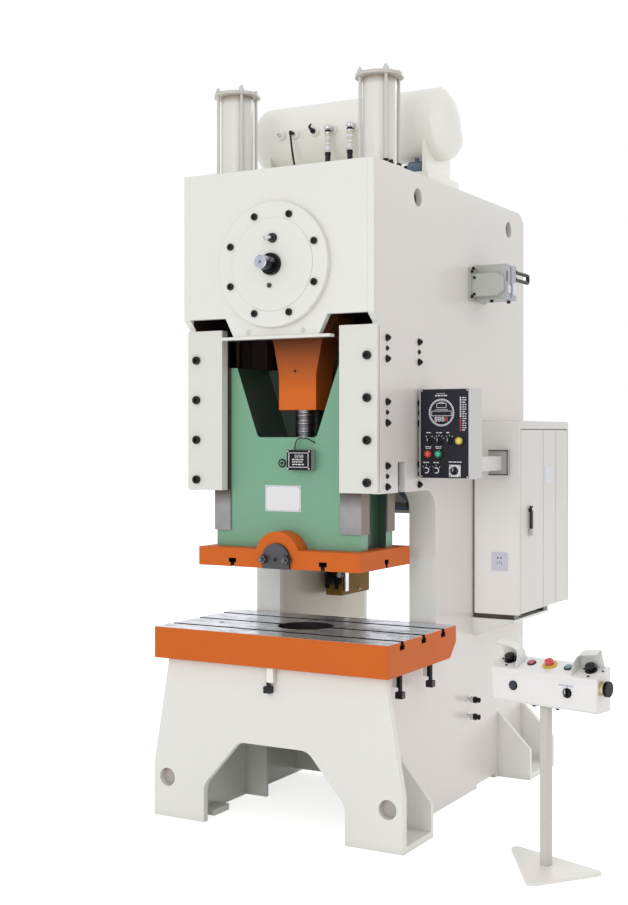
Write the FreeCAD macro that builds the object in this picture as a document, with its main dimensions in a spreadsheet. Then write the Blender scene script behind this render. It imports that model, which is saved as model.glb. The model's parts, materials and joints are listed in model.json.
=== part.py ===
import FreeCAD, Part
import math
import operator
import os
import Sketcher
from FreeCAD import Placement, Rotation, Vector

# A gap-frame mechanical stamping press with a two-hand console, in millimetres.
# Press coordinates: X to the right, Y from the slide's centre line to the back, Z up from the floor.
# Every sub-part's Placement moves it to the shared frame, whose origin is on the floor at the centre of
# the four foundation holes.

SIZES = {
    # frame
    "frame_half": 471,
    "side_wall": 30,
    "cross_wall": 30,
    "head_rise": 417,
    "frame_back": 1452,
    "back_corner": 70,
    "head_front": 261,
    "head_drop": 219,
    "head_step": 38,
    "throat_drop": 971,
    "column_front": 350,
    "throat_radius": 100,
    "flange_width": 100,
    "flange_wall": 28,
    "flange_front": 170,
    "bed_top": 713,
    "relief_start": 830,
    "relief_end": 1070,
    "relief_rise": 20,
    "notch_half": 35,
    "notch_rise": 130,
    "lifting_radius": 40,
    "lifting_front": 165,
    "lifting_back": 1246,
    "lifting_drop": 104,
    "nose_half": 254,
    "nose_tip_half": 212,
    "nose_drop": 302,
    "lip_overhang": 16,
    "lip_wall": 13,
    "lip_depth": 90,
    "lip_proud": 12,
    # legs and feet
    "leg_front": 286,
    "leg_spread": 146,
    "leg_bend": 230,
    "leg_top_spread": 64,
    "arch_inset": 121,
    "arch_spring": 165,
    "arch_crown_half": 170,
    "arch_crown": 370,
    "arch_fillet": 70,
    "leg_hole_radius": 40,
    "leg_hole_height": 175,
    "foot_wall": 28,
    "gusset_wall": 26,
    "gusset_back": 6,
    "gusset_low": 148,
    "gusset_high": 321,
    "back_foot_spread": 169,
    "back_gusset_front": 1098,
    "anchor_spread": 74,
    "anchor_span_y": 1415,
    "anchor_setback": 140,
    "anchor_radius": 16,
    "deck_back": 650,
    "base_wall_front": 675,
    "web_front": 320,
    "web_rise": 49,
    "back_web_front": 1140,
    "hub_wall": 40,
    "hub_length": 90,
    "back_web_drop": 522,
    "journal_radius": 80,
    "shaft_radius": 70,
    "bearing_gap": 0.05,
    # bolster
    "bolster_overhang": 104,
    "bolster_half_y": 340,
    "bolster_height": 137,
    "bolster_chamfer": 65,
    "bolster_bore": 125,
    "slot_pitch_front": 210,
    "slot_pitch_back": 200,
    "slot_half": 14,
    "slot_tee_half": 23,
    "slot_neck": 15,
    "slot_depth": 34,
    "pin_hole_radius": 13,
    "pin_hole_x": 389,
    "pin_hole_y": 83,
    "bolster_clamp_front": 138,
    "bolster_clamp_back": 164,
    "bolster_clamp_out": 60,
    # guides
    "guide_front": 230,
    "guide_plate": 14,
    "guide_lap": 68,
    "guide_drop": 267,
    "guide_back": 200,
    "guide_side_end": 60,
    "guide_gap": 0.3,
    "guide_screw_inset": 46,
    "guide_bolt_front": 140,
    "guide_bolt_back": 175,
    # slide
    "slide_inset": 111,
    "slide_front": 165,
    "slide_back": 138,
    "slide_drop": 430,
    "slide_height": 787,
    "strip_wall": 8,
    "strip_width_left": 75,
    "strip_width_right": 94,
    "strip_rise": 70,
    "post_front": 98,
    "post_back": 74,
    "side_recess": 40,
    "window_low_half": 147,
    "window_high_half": 254,
    "window_depth": 306,
    "window_back": 100,
    "window_fillet": 22,
    "lock_x": 23,
    "lock_rise": 369,
    "lock_radius": 19,
    "stroke": 180,
    # slide plate and shank clamp
    "plate_overhang": 40,
    "plate_front": 250,
    "plate_back": 230,
    "plate_wall": 81,
    "plate_slot_x": 225,
    "plate_slot_half": 10,
    "plate_tee_half": 19,
    "plate_neck": 18,
    "plate_tee": 19,
    "boss_half": 108,
    "boss_rise": 78,
    "clamp_half": 67,
    "clamp_rise": 28,
    "clamp_proud": 12,
    "shank_radius": 25,
    "clamp_nut_x": 57,
    "clamp_nut_radius": 15,
    # die height indicator
    "meter_left": 27,
    "meter_width": 116,
    "meter_height": 86,
    "meter_depth": 46,
    "meter_rise": 341,
    # drive
    "crank_height": 2422,
    "throw": 90,
    "pin_radius": 68,
    "cheek_radius": 185,
    "cheek_wall": 50,
    "rod_half_x": 94,
    "rod_half_y": 74,
    "rod_drop": 616,
    "flare_drop": 461,
    "rod_neck_half": 125,
    "neck_drop": 310,
    "rod_eye_half": 205,
    "eye_half_height": 130,
    "eye_slot_half": 162,
    "eye_slot_rise": 91,
    "cheek_gap": 4,
    "screw_radius": 45,
    "screw_seat": 46,
    "screw_in_rod": 160,
    "cover_radius": 268,
    "cover_inner": 199,
    "cover_wall": 30,
    "fitting_rise": 111,
    "fitting_radius": 19,
    "stud_drop": 90,
    "stud_radius": 10,
    "cover_screw_circle": 224,
    "cover_screw_radius": 15,
    "collar_radius": 47,
    "collar_length": 17,
    "nose_radius": 30,
    "nose_length": 97,
    "flywheel_gap": 15,
    "flywheel_width": 140,
    "flywheel_front": 1262,
    "groove_depth": 12,
    "motor_x": 130,
    "motor_drop": 952,
    "motor_radius": 120,
    "motor_length": 330,
    "pulley_radius": 75,
    "motor_shaft_radius": 20,
    "guard_depth": 45,
    # top
    "cylinder_offset": 3,
    "cylinder_y": 5,
    "cylinder_radius": 73.5,
    "cylinder_bore": 64,
    "cylinder_height": 394,
    "cap_radius": 105,
    "cap_wall": 14,
    "tie_offset": 62,
    "tie_radius": 7,
    "tie_nut_height": 19,
    "piston_rod_radius": 20,
    "piston_height": 45,
    "piston_rest": 70,
    "lug_drop": 180,
    "lug_height": 50,
    "tank_y": 495,
    "tank_lift": 286,
    "tank_radius": 165,
    "tank_inset": 23,
    "tank_dish": 80,
    "fitting_drop": 5,
    "hose_end_drop": 135,
    "hose_radius": 13,
    "drain_inset": 114,
    "drain_length": 80,
    "drain_radius": 24,
    "saddle_inset": 51,
    "saddle_wall": 20,
    "saddle_front": 360,
    "saddle_back": 630,
    "rail_height": 46,
    "rail_back": 695,
    # right side
    "valve_front": 735,
    "valve_back": 915,
    "valve_drop": 85,
    "valve_height": 166,
    "valve_reach": 168,
    "loop_reach": 165,
    "loop_bend": 18,
    "loop_radius": 9,
    "coupling_y": 722,
    "coupling_low": 367,
    "coupling_pitch": 80,
    "coupling_radius": 17,
    "coupling_length": 61,
    # electrical cabinet
    "cabinet_gap": 10,
    "cabinet_width": 224,
    "cabinet_front": 778,
    "cabinet_back": 1478,
    "cabinet_height": 912,
    "cabinet_drop": 660,
    "hood_height": 37,
    "sheet": 4,
    "door_wall": 20,
    "door_gap": 4,
    "door_first": 803,
    "door_seam": 1105,
    "door_last": 1468,
    "handle_y": 912,
    "handle_length": 141,
    "handle_drop": 404,
    "bracket_drop": 105,
    # control panel and its arm
    "panel_gap": 19,
    "panel_width": 234,
    "panel_front": 140,
    "panel_back": 280,
    "panel_drop": 916,
    "panel_height": 392,
    "arm_rise": 25,
    "arm_side": 66,
    "arm_offset": 110,
    "clasp_drop": 23,
    "clasp_height": 117,
    "clasp_left_reach": 35,
    "clasp_right_reach": 61,
    "clasp_reach": 30,
    "button_radius": 16,
    "button_proud": 13,
    "button_travel": 5,
    "selector_radius": 13,
    "key_radius": 9,
    "key_knob_radius": 18,
    "control_gap": 0.1,
    # console
    "console_x": 1170,
    "console_y": 150,
    "console_turn": 12,
    "console_middle": 16,
    "console_half": 240,
    "console_front": 55,
    "console_back": 45,
    "console_low": 643,
    "console_bevel": 744,
    "console_bevel_depth": 6,
    "console_front_top": 772,
    "console_back_top": 812,
    "control_line": 8,
    "post_side": 35,
    "post_wall": 3,
    "base_wall": 12,
    "flange_half": 62,
    "flange_plate": 8,
    "palm_x": 182,
    "palm_radius": 20,
    "palm_stem": 14,
    "small_button_x": 83,
    "small_radius": 13.5,
    "stop_radius": 17,
    "stop_plate_radius": 29,
    "shield_inner": 123,
    "shield_width": 104,
    "shield_height": 66,
    "shield_rise": 14,
    "shield_depth": 80,
    "shield_roof": 40,
    "shield_radius": 45,
    "front_button_x": 136,
    "front_selector_x": 108,
    "front_control_z": 708,
    "front_radius": 15,
    "plug_back": 22,
    "plug_z": 738,
    "plug_radius": 27,
    "plug_length": 34,
    # air unit behind the throat
    "unit_inset": 30,
    "unit_width": 94,
    "unit_front": 930,
    "unit_back": 1240,
    "unit_low": 868,
    "unit_high": 1000,
    "unit_gauge": 75,
    "unit_port": 160,
}

doc = FreeCAD.newDocument("StampingPress")
sheet = doc.addObject("Spreadsheet::Sheet", "Size")
for row, (alias, number) in enumerate(SIZES.items(), 1):
    sheet.set(f"A{row}", alias)
    sheet.set(f"B{row}", str(number))
    sheet.setAlias(f"B{row}", alias)
doc.recompute()


class Dim:
    # A length worked out from the sheet: its value now, and the formula that keeps it up to date.
    def __init__(self, value, formula):
        self.value = float(value)
        self.formula = formula

    def __add__(self, other):
        return combine(self, "+", other)

    def __radd__(self, other):
        return combine(other, "+", self)

    def __sub__(self, other):
        return combine(self, "-", other)

    def __rsub__(self, other):
        return combine(other, "-", self)

    def __mul__(self, other):
        return combine(self, "*", other)

    def __rmul__(self, other):
        return combine(other, "*", self)

    def __truediv__(self, other):
        return combine(self, "/", other)

    def __neg__(self):
        return combine(0, "-", self)


OPERATIONS = {"+": operator.add, "-": operator.sub, "*": operator.mul, "/": operator.truediv}


def dim(number):
    return number if isinstance(number, Dim) else Dim(number, f"({float(number)})")


def combine(left, sign, right):
    left, right = dim(left), dim(right)
    return Dim(OPERATIONS[sign](left.value, right.value), f"({left.formula} {sign} {right.formula})")


def root(number):
    number = dim(number)
    return Dim(math.sqrt(number.value), f"sqrt({number.formula})")


class Sizes:
    def __getattr__(self, alias):
        return Dim(sheet.get(alias), f"Size.{alias}")


s = Sizes()


# half widths and places across the press, from the side plates and from what each piece goes with
leg_half = s.frame_half + s.leg_spread
leg_top_half = s.frame_half + s.leg_top_spread
arch_half = s.frame_half - s.arch_inset
back_foot_half = s.frame_half + s.back_foot_spread
anchor_half_x = s.frame_half + s.anchor_spread
bolster_half_x = s.frame_half + s.bolster_overhang
lip_half = s.nose_half + s.lip_overhang
slide_half = s.frame_half - s.slide_inset
guide_inner = slide_half - s.guide_lap
strip_inner_left = slide_half - s.strip_width_left
strip_inner_right = slide_half - s.strip_width_right
plate_half = slide_half + s.plate_overhang
cylinder_x = slide_half + s.cylinder_offset
tank_half = s.frame_half - s.tank_inset
saddle_x = s.frame_half - s.saddle_inset
unit_left = s.frame_half - s.unit_inset
unit_right = unit_left - s.unit_width
panel_left = s.frame_half + s.panel_gap
panel_right = panel_left + s.panel_width
arm_x = panel_left + s.arm_offset
clasp_left = arm_x - s.clasp_left_reach
clasp_right = arm_x + s.clasp_right_reach

# levels, from the crank's axis and from what each piece goes with
frame_top = s.crank_height + s.head_rise
flywheel_radius = s.head_rise - s.cross_wall - s.flywheel_gap
head_bottom = s.crank_height - s.head_drop
arm_bottom = s.crank_height - s.throat_drop
nose_bottom = s.crank_height - s.nose_drop
web_bottom = arm_bottom + s.web_rise
back_web_bottom = s.crank_height - s.back_web_drop
guide_top = s.crank_height - s.guide_drop
slide_top = s.crank_height - s.slide_drop
slide_bottom = slide_top - s.slide_height
strip_bottom = slide_bottom + s.strip_rise
window_bottom = slide_top - s.window_depth
lock_z = slide_bottom + s.lock_rise
meter_bottom = slide_bottom + s.meter_rise
plate_bottom = slide_bottom - s.plate_wall
boss_top = slide_bottom + s.boss_rise
clamp_top = slide_bottom + s.clamp_rise
rod_bottom = s.crank_height - s.rod_drop
rod_flare = s.crank_height - s.flare_drop
rod_neck = s.crank_height - s.neck_drop
screw_bottom = window_bottom - s.screw_seat
motor_z = s.crank_height - s.motor_drop
tank_z = frame_top + s.tank_lift
valve_bottom = s.crank_height - s.valve_drop
valve_top = valve_bottom + s.valve_height
cabinet_top = s.crank_height - s.cabinet_drop
cabinet_bottom = cabinet_top - s.cabinet_height
handle_high = cabinet_top - s.handle_drop
handle_low = handle_high - s.handle_length
panel_low = s.crank_height - s.panel_drop
panel_high = panel_low + s.panel_height
arm_low = panel_low + s.arm_rise
clasp_low = arm_low - s.clasp_drop
clasp_high = clasp_low + s.clasp_height


def bind(item, path, length):
    item.setExpression(path, dim(length).formula)


def ordered(first, second):
    first, second = dim(first), dim(second)
    return (first, second) if first.value <= second.value else (second, first)


# plain solids

def box(x, y, z):
    # a block between two limits on each axis
    item = doc.addObject("Part::Box", "Block")
    for axis, size, limits in zip("xyz", ("Length", "Width", "Height"), (x, y, z)):
        low, high = ordered(*limits)
        bind(item, size, high - low)
        bind(item, f"Placement.Base.{axis}", low)
    return item


ALONG = {
    "X": Rotation(Vector(0, 1, 0), 90),
    "Y": Rotation(Vector(1, 0, 0), -90),
    "Z": Rotation(),
}


def put(item, axis, centre, start):
    # stands a primitive on its axis: centre holds the two other coordinates, in X, Y, Z order
    item.Placement = Placement(Vector(), ALONG[axis])
    places = list(centre)
    places.insert("XYZ".index(axis), start)
    for letter, place in zip("xyz", places):
        bind(item, f"Placement.Base.{letter}", place)
    return item


def rod(axis, centre, start, end, radius):
    start, end = ordered(start, end)
    item = doc.addObject("Part::Cylinder", "Rod")
    bind(item, "Radius", radius)
    bind(item, "Height", end - start)
    return put(item, axis, centre, start)


def cone(axis, centre, start, end, radius_start, radius_end):
    item = doc.addObject("Part::Cone", "Cone")
    bind(item, "Radius1", radius_start)
    bind(item, "Radius2", radius_end)
    bind(item, "Height", end - start)
    return put(item, axis, centre, start)


def hexagon(axis, centre, start, end, radius):
    start, end = ordered(start, end)
    item = doc.addObject("Part::Prism", "Hexagon")
    item.Polygon = 6
    bind(item, "Circumradius", radius)
    bind(item, "Height", end - start)
    return put(item, axis, centre, start)


def half_ring(x, y, z, major, minor):
    # a half torus in the plane across X, open towards the front
    item = doc.addObject("Part::Torus", "HalfRing")
    bind(item, "Radius1", major)
    bind(item, "Radius2", minor)
    item.Angle3 = 180
    item.Placement = Placement(Vector(), Rotation(Vector(0, 0, 1), Vector(1, 0, 0)))
    for letter, place in zip("xyz", (x, y, z)):
        bind(item, f"Placement.Base.{letter}", place)
    return item


def join(*items):
    if len(items) == 1:
        return items[0]
    item = doc.addObject("Part::MultiFuse", "Join")
    item.Shapes = list(items)
    item.Refine = True
    return item


def cut(base, *tools):
    item = doc.addObject("Part::Cut", "Cut")
    item.Base = base
    item.Tool = join(*tools)
    return item


def group(items):
    item = doc.addObject("Part::Compound", "Group")
    item.Links = list(items)
    return item


# sketched solids

PLANES = {"X": "YZ_Plane", "Y": "XZ_Plane", "Z": "XY_Plane"}


def new_sketch(body, plane, offset):
    # offset is in the sketch's own axes: two in its plane and one along its normal
    sketch = body.newObject("Sketcher::SketchObject", "Outline")
    support = [item for item in body.Origin.OriginFeatures if item.Role == plane]
    sketch.AttachmentSupport = [(support[0], "")]
    sketch.MapMode = "FlatFace"
    for letter, place in zip("xyz", offset):
        bind(sketch, f"AttachmentOffset.Base.{letter}", place)
    return sketch


def fix_point(sketch, geometry, vertex, point):
    for kind, length in zip(("DistanceX", "DistanceY"), point):
        rule = Sketcher.Constraint(kind, -1, 1, geometry, vertex, length.value)
        index = sketch.addConstraint(rule)
        bind(sketch, f"Constraints[{index}]", length)


def rounded(before, corner, after, radius):
    # where a round of this radius leaves the side before the corner and meets the side after it
    back = [a - c for a, c in zip(before, corner)]
    ahead = [a - c for a, c in zip(after, corner)]
    back_length = root(back[0] * back[0] + back[1] * back[1])
    ahead_length = root(ahead[0] * ahead[0] + ahead[1] * ahead[1])
    cosine = (back[0] * ahead[0] + back[1] * ahead[1]) / (back_length * ahead_length)
    setback = radius * root((1 + cosine) / (1 - cosine))
    start = [c + b * setback / back_length for c, b in zip(corner, back)]
    end = [c + a * setback / ahead_length for c, a in zip(corner, ahead)]
    return start, end


def as_vector(point):
    return Vector(point[0].value, point[1].value, 0)


def arc_between(corner, start, end, radius):
    # the arc's middle lies on the line from its centre to the corner
    corner, start, end = as_vector(corner), as_vector(start), as_vector(end)
    middle = (start + end) * 0.5
    reach = math.sqrt(max(radius * radius - (end - start).Length ** 2 / 4, 0))
    away = (corner - middle).normalize()
    top = middle - away * reach + away * radius
    return Part.Arc(start, top, end)


def draw_outline(sketch, points):
    # a closed outline of (x, y) or (x, y, corner radius), every point fixed by the sheet
    corners = [[dim(p[0]), dim(p[1])] for p in points]
    radii = [dim(p[2]) if len(p) > 2 else None for p in points]
    count = len(points)
    ends = []
    for k in range(count):
        if radii[k] is None:
            ends.append((corners[k], corners[k]))
        else:
            ends.append(rounded(corners[k - 1], corners[k], corners[(k + 1) % count], radii[k]))
    lines = []
    for k in range(count):
        start, end = ends[k][1], ends[(k + 1) % count][0]
        line = sketch.addGeometry(Part.LineSegment(as_vector(start), as_vector(end)))
        lines.append(line)
        fix_point(sketch, line, 1, start)
        if radii[(k + 1) % count] is not None:
            fix_point(sketch, line, 2, end)
    for k in range(count):
        if radii[k] is None:
            sketch.addConstraint(Sketcher.Constraint("Coincident", lines[k - 1], 2, lines[k], 1))
            continue
        start, end = ends[k]
        arc = sketch.addGeometry(arc_between(corners[k], start, end, radii[k].value))
        near = sketch.getPoint(arc, 1).distanceToPoint(as_vector(start)) < 1e-4
        first, last = (1, 2) if near else (2, 1)
        sketch.addConstraint(Sketcher.Constraint("Coincident", lines[k - 1], 2, arc, first))
        sketch.addConstraint(Sketcher.Constraint("Coincident", arc, last, lines[k], 1))
        rule = sketch.addConstraint(Sketcher.Constraint("Radius", arc, radii[k].value))
        bind(sketch, f"Constraints[{rule}]", radii[k])


def draw_circle(sketch, x, y, radius):
    x, y, radius = dim(x), dim(y), dim(radius)
    circle = sketch.addGeometry(Part.Circle(Vector(x.value, y.value, 0), Vector(0, 0, 1), radius.value))
    fix_point(sketch, circle, 3, (x, y))
    rule = sketch.addConstraint(Sketcher.Constraint("Radius", circle, radius.value))
    bind(sketch, f"Constraints[{rule}]", radius)


def plate(axis, limits, points, holes=()):
    # an outline padded between two limits on its axis; its own axes are the two others, in X, Y, Z order
    low, high = ordered(*limits)
    body = doc.addObject("PartDesign::Body", "Plate")
    level = -high if axis == "Y" else low
    sketch = new_sketch(body, PLANES[axis], (0, 0, level))
    draw_outline(sketch, points)
    for hole in holes:
        draw_circle(sketch, *hole)
    pad = body.newObject("PartDesign::Pad", "Pad")
    pad.Profile = sketch
    bind(pad, "Length", high - low)
    return body


def turned(axis, centre, points):
    # an outline of (radius, distance along the axis) turned round the axis through the centre
    x, y, z = centre
    body = doc.addObject("PartDesign::Body", "Turned")
    if axis == "Z":
        sketch = new_sketch(body, "XZ_Plane", (x, z, -y))
    else:
        sketch = new_sketch(body, "XY_Plane", (x, y, z))
    if axis == "X":
        points = [(p[1], p[0]) + tuple(p[2:]) for p in points]
    draw_outline(sketch, points)
    feature = body.newObject("PartDesign::Revolution", "Revolution")
    feature.Profile = sketch
    feature.ReferenceAxis = (sketch, ["H_Axis" if axis == "X" else "V_Axis"])
    feature.Angle = 360
    return body


# placing the finished sub-parts

nodes = []
slide_line = s.anchor_setback - s.anchor_span_y / 2


def finish(name, item):
    # a press part keeps its coordinates and moves as a whole to the shared frame
    if item.TypeId.startswith("Part::") and not item.TypeId.endswith(("Cut", "Fuse", "Compound")):
        item = group([item])
    item.Label = name
    bind(item, "Placement.Base.y", slide_line)
    nodes.append(item)
    return item


console_tilt = math.degrees(math.atan2(sheet.get("console_back_top") - sheet.get("console_front_top"),
                                       sheet.get("console_front") + sheet.get("console_back")))


def finish_console(name, item):
    # a console part has its own coordinates: x along the box, y to its back and z up from the floor
    item = group([item])
    item.Label = name
    item.Placement = Placement(Vector(), Rotation(Vector(0, 0, 1), -sheet.get("console_turn")))
    bind(item, "Placement.Base.x", s.console_x)
    bind(item, "Placement.Base.y", slide_line - s.console_y)
    nodes.append(item)
    return item


SIDES = (("left", -1), ("right", 1))


# frame

inner_half = s.frame_half - s.side_wall
leg_back = s.leg_front - s.cross_wall
front_wall_back = s.head_front - s.cross_wall
guide_seat = s.guide_front - s.guide_plate
lifting_height = frame_top - s.lifting_drop


def side_plate(side):
    outline = [
        (-leg_back, 0),
        (s.relief_start, 0),
        (s.relief_start, s.relief_rise),
        (s.relief_end, s.relief_rise),
        (s.relief_end, 0),
        (s.frame_back, 0),
        (s.frame_back, frame_top, s.back_corner),
        (-s.head_front, frame_top),
        (-s.head_front, head_bottom, 14),
        (-guide_seat, head_bottom - s.head_step, 14),
        (-guide_seat, arm_bottom),
        (-s.notch_half, arm_bottom),
        (-s.notch_half, arm_bottom + s.notch_rise),
        (s.notch_half, arm_bottom + s.notch_rise),
        (s.notch_half, arm_bottom),
        (s.column_front, arm_bottom, s.throat_radius),
        (s.column_front, s.bed_top),
        (-leg_back, s.bed_top),
    ]
    holes = [(y, lifting_height, s.lifting_radius) for y in (s.lifting_front, s.lifting_back)]
    return plate("X", (s.frame_half * side, inner_half * side), outline, holes)


def head_front_plate():
    # the front wall of the head, drawn down to a trapezoid that ends in a proud lip
    wall = plate("Y", (-s.head_front, -front_wall_back), [
        (-inner_half, head_bottom),
        (-s.nose_half, head_bottom),
        (-s.nose_tip_half, nose_bottom),
        (s.nose_tip_half, nose_bottom),
        (s.nose_half, head_bottom),
        (inner_half, head_bottom),
        (inner_half, frame_top),
        (-inner_half, frame_top),
    ], [(0, s.crank_height, s.cover_inner)])
    lip_front = s.head_front + s.lip_proud
    lip = box((-lip_half, lip_half), (-lip_front, s.lip_depth - lip_front),
              (nose_bottom - s.lip_wall, nose_bottom))
    return join(wall, lip)


def crank_web(front, bottom, radius):
    # a cross wall with the hub of one crank bearing
    wall = box((-inner_half, inner_half), (front, front + s.cross_wall), (bottom, frame_top - s.cross_wall))
    hub = rod("Y", (0, s.crank_height), front + s.cross_wall - s.hub_length, front + s.cross_wall,
              radius + s.hub_wall)
    bearing = rod("Y", (0, s.crank_height), front - s.hub_length, front + s.hub_length,
                  radius + s.bearing_gap)
    return cut(join(wall, hub), bearing)


def cross_plates():
    roof_low, skin_front = frame_top - s.cross_wall, s.frame_back - s.cross_wall
    roof = plate("X", (-inner_half, inner_half), [
        (-front_wall_back, frame_top),
        (s.frame_back, frame_top, s.back_corner),
        (s.frame_back, roof_low - s.back_corner),
        (skin_front, roof_low - s.back_corner),
        (skin_front, roof_low, s.back_corner - s.cross_wall),
        (-front_wall_back, roof_low),
    ])
    top = cut(
        roof,
        *[rod("Z", (cylinder_x * side, s.cylinder_y), frame_top - s.cross_wall * 2,
              frame_top + s.cross_wall, s.piston_rod_radius + 2) for _, side in SIDES])
    web = crank_web(s.web_front, web_bottom, s.journal_radius)
    back_web = crank_web(s.back_web_front, back_web_bottom, s.shaft_radius)
    deck = plate("Z", (s.bed_top - s.cross_wall, s.bed_top), [
        (-inner_half, -leg_back),
        (inner_half, -leg_back),
        (inner_half, s.deck_back),
        (-inner_half, s.deck_back),
    ], [(0, 0, s.bolster_bore + 25)])
    wall = box((-inner_half, inner_half), (s.base_wall_front, s.base_wall_front + s.cross_wall),
               (s.relief_rise, s.bed_top))
    return group([top, web, back_web, deck, wall])


def throat_flange(side):
    # the strip welded inside the throat's edge, up the column and forward under the arm
    back = s.column_front + s.flange_wall
    outline = [
        (s.column_front, s.bed_top),
        (s.column_front, arm_bottom, s.throat_radius),
        (s.flange_front, arm_bottom),
        (s.flange_front, arm_bottom + s.flange_wall),
        (back, arm_bottom + s.flange_wall, s.throat_radius + s.flange_wall),
        (back, s.bed_top),
    ]
    return plate("X", (inner_half * side, (inner_half - s.flange_width) * side), outline)


def front_leg_plate():
    return plate("Y", (-s.leg_front, -leg_back), [
        (-leg_half, 0),
        (-arch_half, 0),
        (-arch_half, s.arch_spring, s.arch_fillet),
        (-s.arch_crown_half, s.arch_crown, s.arch_fillet),
        (s.arch_crown_half, s.arch_crown, s.arch_fillet),
        (arch_half, s.arch_spring, s.arch_fillet),
        (arch_half, 0),
        (leg_half, 0),
        (leg_half, s.leg_bend, 30),
        (leg_top_half, s.bed_top),
        (-leg_top_half, s.bed_top),
        (-leg_half, s.leg_bend, 30),
    ], [(anchor_half_x * side, s.leg_hole_height, s.leg_hole_radius) for _, side in SIDES])


def corner_foot(side, outer, front, back, gusset, plates):
    # a base plate with its anchor hole, under sloping plates that run out from the side plate
    anchor_y = -s.anchor_setback if gusset == "front" else s.anchor_span_y - s.anchor_setback
    pieces = [cut(
        box((s.frame_half * side, outer * side), (front, back), (0, s.foot_wall)),
        rod("Z", (anchor_half_x * side, anchor_y), -1, s.foot_wall + 1, s.anchor_radius))]
    for limits in plates:
        pieces.append(plate("Y", limits, [
            (s.frame_half * side, s.foot_wall),
            (outer * side, s.foot_wall),
            (outer * side, s.gusset_low),
            (s.frame_half * side, s.gusset_high),
        ]))
    return join(*pieces)


def corner_feet():
    feet = []
    for _, side in SIDES:
        front_gusset = (s.gusset_back - s.gusset_wall, s.gusset_back)
        feet.append(corner_foot(side, leg_half, -leg_back, s.gusset_back, "front", [front_gusset]))
        back_gusset = (s.back_gusset_front, s.back_gusset_front + s.gusset_wall)
        back_plate = (s.frame_back - s.cross_wall, s.frame_back)
        feet.append(corner_foot(side, back_foot_half, s.back_gusset_front, s.frame_back, "back",
                                [back_gusset, back_plate]))
    return group(feet)


for word, side in SIDES:
    finish(f"side_plate_{word}", side_plate(side))
finish("head_front_plate", head_front_plate())
finish("cross_plates", cross_plates())
finish("throat_flanges", group([throat_flange(side) for _, side in SIDES]))
finish("front_leg_plate", front_leg_plate())
finish("corner_feet", corner_feet())


# bed

bolster_top = s.bed_top + s.bolster_height


def tee_points(centre):
    # a T-slot open at the bolster's top, from back to front
    neck, floor = bolster_top - s.slot_neck, bolster_top - s.slot_depth
    return [
        (centre + s.slot_half, bolster_top),
        (centre + s.slot_half, neck),
        (centre + s.slot_tee_half, neck),
        (centre + s.slot_tee_half, floor),
        (centre - s.slot_tee_half, floor),
        (centre - s.slot_tee_half, neck),
        (centre - s.slot_half, neck),
        (centre - s.slot_half, bolster_top),
    ]


def bolster():
    outline = [
        (-s.bolster_half_y, s.bed_top),
        (s.bolster_half_y - s.bolster_chamfer, s.bed_top),
        (s.bolster_half_y, s.bed_top + s.bolster_chamfer),
        (s.bolster_half_y, bolster_top),
    ]
    for centre in (s.slot_pitch_back, dim(0), -s.slot_pitch_front):
        outline += tee_points(centre)
    outline.append((-s.bolster_half_y, bolster_top))
    block = plate("X", (-bolster_half_x, bolster_half_x), outline)
    bore = rod("Z", (0, 0), s.bed_top - 1, bolster_top + 1, s.bolster_bore)
    pin_hole = rod("Z", (-s.pin_hole_x, -s.pin_hole_y), bolster_top - 60, bolster_top + 1, s.pin_hole_radius)
    return cut(block, bore, pin_hole)


def bolster_clamp(x, y, across):
    # a lug on the frame, a threaded rod up into the bolster and its square nut below
    lug = box((x + 6 * across[0], x + 30 * across[0] + 24 * across[1]),
              (y + 6 * across[1] - 12 * across[0], y + 30 * across[1] + 12 * across[0]),
              (s.bed_top - 66, s.bed_top))
    stem = rod("Z", (x, y), s.bed_top - 92, s.bed_top, 9)
    nut = box((x - 16, x + 16), (y - 16, y + 16), (s.bed_top - 112, s.bed_top - 84))
    return join(lug, stem, nut)


def bolster_clamps():
    clamps = [bolster_clamp(dim(-10), -s.leg_front - 17, (1, 0))]
    for _, side in SIDES:
        for y in (-s.bolster_clamp_front, s.bolster_clamp_back):
            clamps.append(bolster_clamp((s.frame_half + s.bolster_clamp_out) * side, y, (-side, 0)))
    return group(clamps)


finish("bolster", bolster())
finish("bolster_clamps", bolster_clamps())


# slide guides

strip_face = slide_half + s.strip_wall
strip_front = s.slide_front + s.strip_wall
strip_back = s.slide_back + s.strip_wall


def guide_box(side):
    # the front gib, an L that wraps the slide's front corner, and the back gib behind it
    plan = [
        (s.frame_half * side, -s.guide_front),
        (s.frame_half * side, -guide_seat),
        (inner_half * side, -guide_seat),
        (inner_half * side, -s.guide_side_end),
        ((strip_face + s.guide_gap) * side, -s.guide_side_end),
        ((strip_face + s.guide_gap) * side, -strip_front - s.guide_gap),
        (guide_inner * side, -strip_front - s.guide_gap),
        (guide_inner * side, -s.guide_front),
    ]
    front = plate("Z", (arm_bottom + 2, guide_top), plan)
    back_plan = [
        (inner_half * side, s.guide_side_end),
        (inner_half * side, s.guide_back),
        (guide_inner * side, s.guide_back),
        (guide_inner * side, strip_back + s.guide_gap),
        ((strip_face + s.guide_gap) * side, strip_back + s.guide_gap),
        ((strip_face + s.guide_gap) * side, s.guide_side_end),
    ]
    back = plate("Z", (arm_bottom + s.flange_wall, guide_top), back_plan)
    return group([front, back])


for word, side in SIDES:
    finish(f"gib_box_{word}", guide_box(side))


# slide

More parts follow.
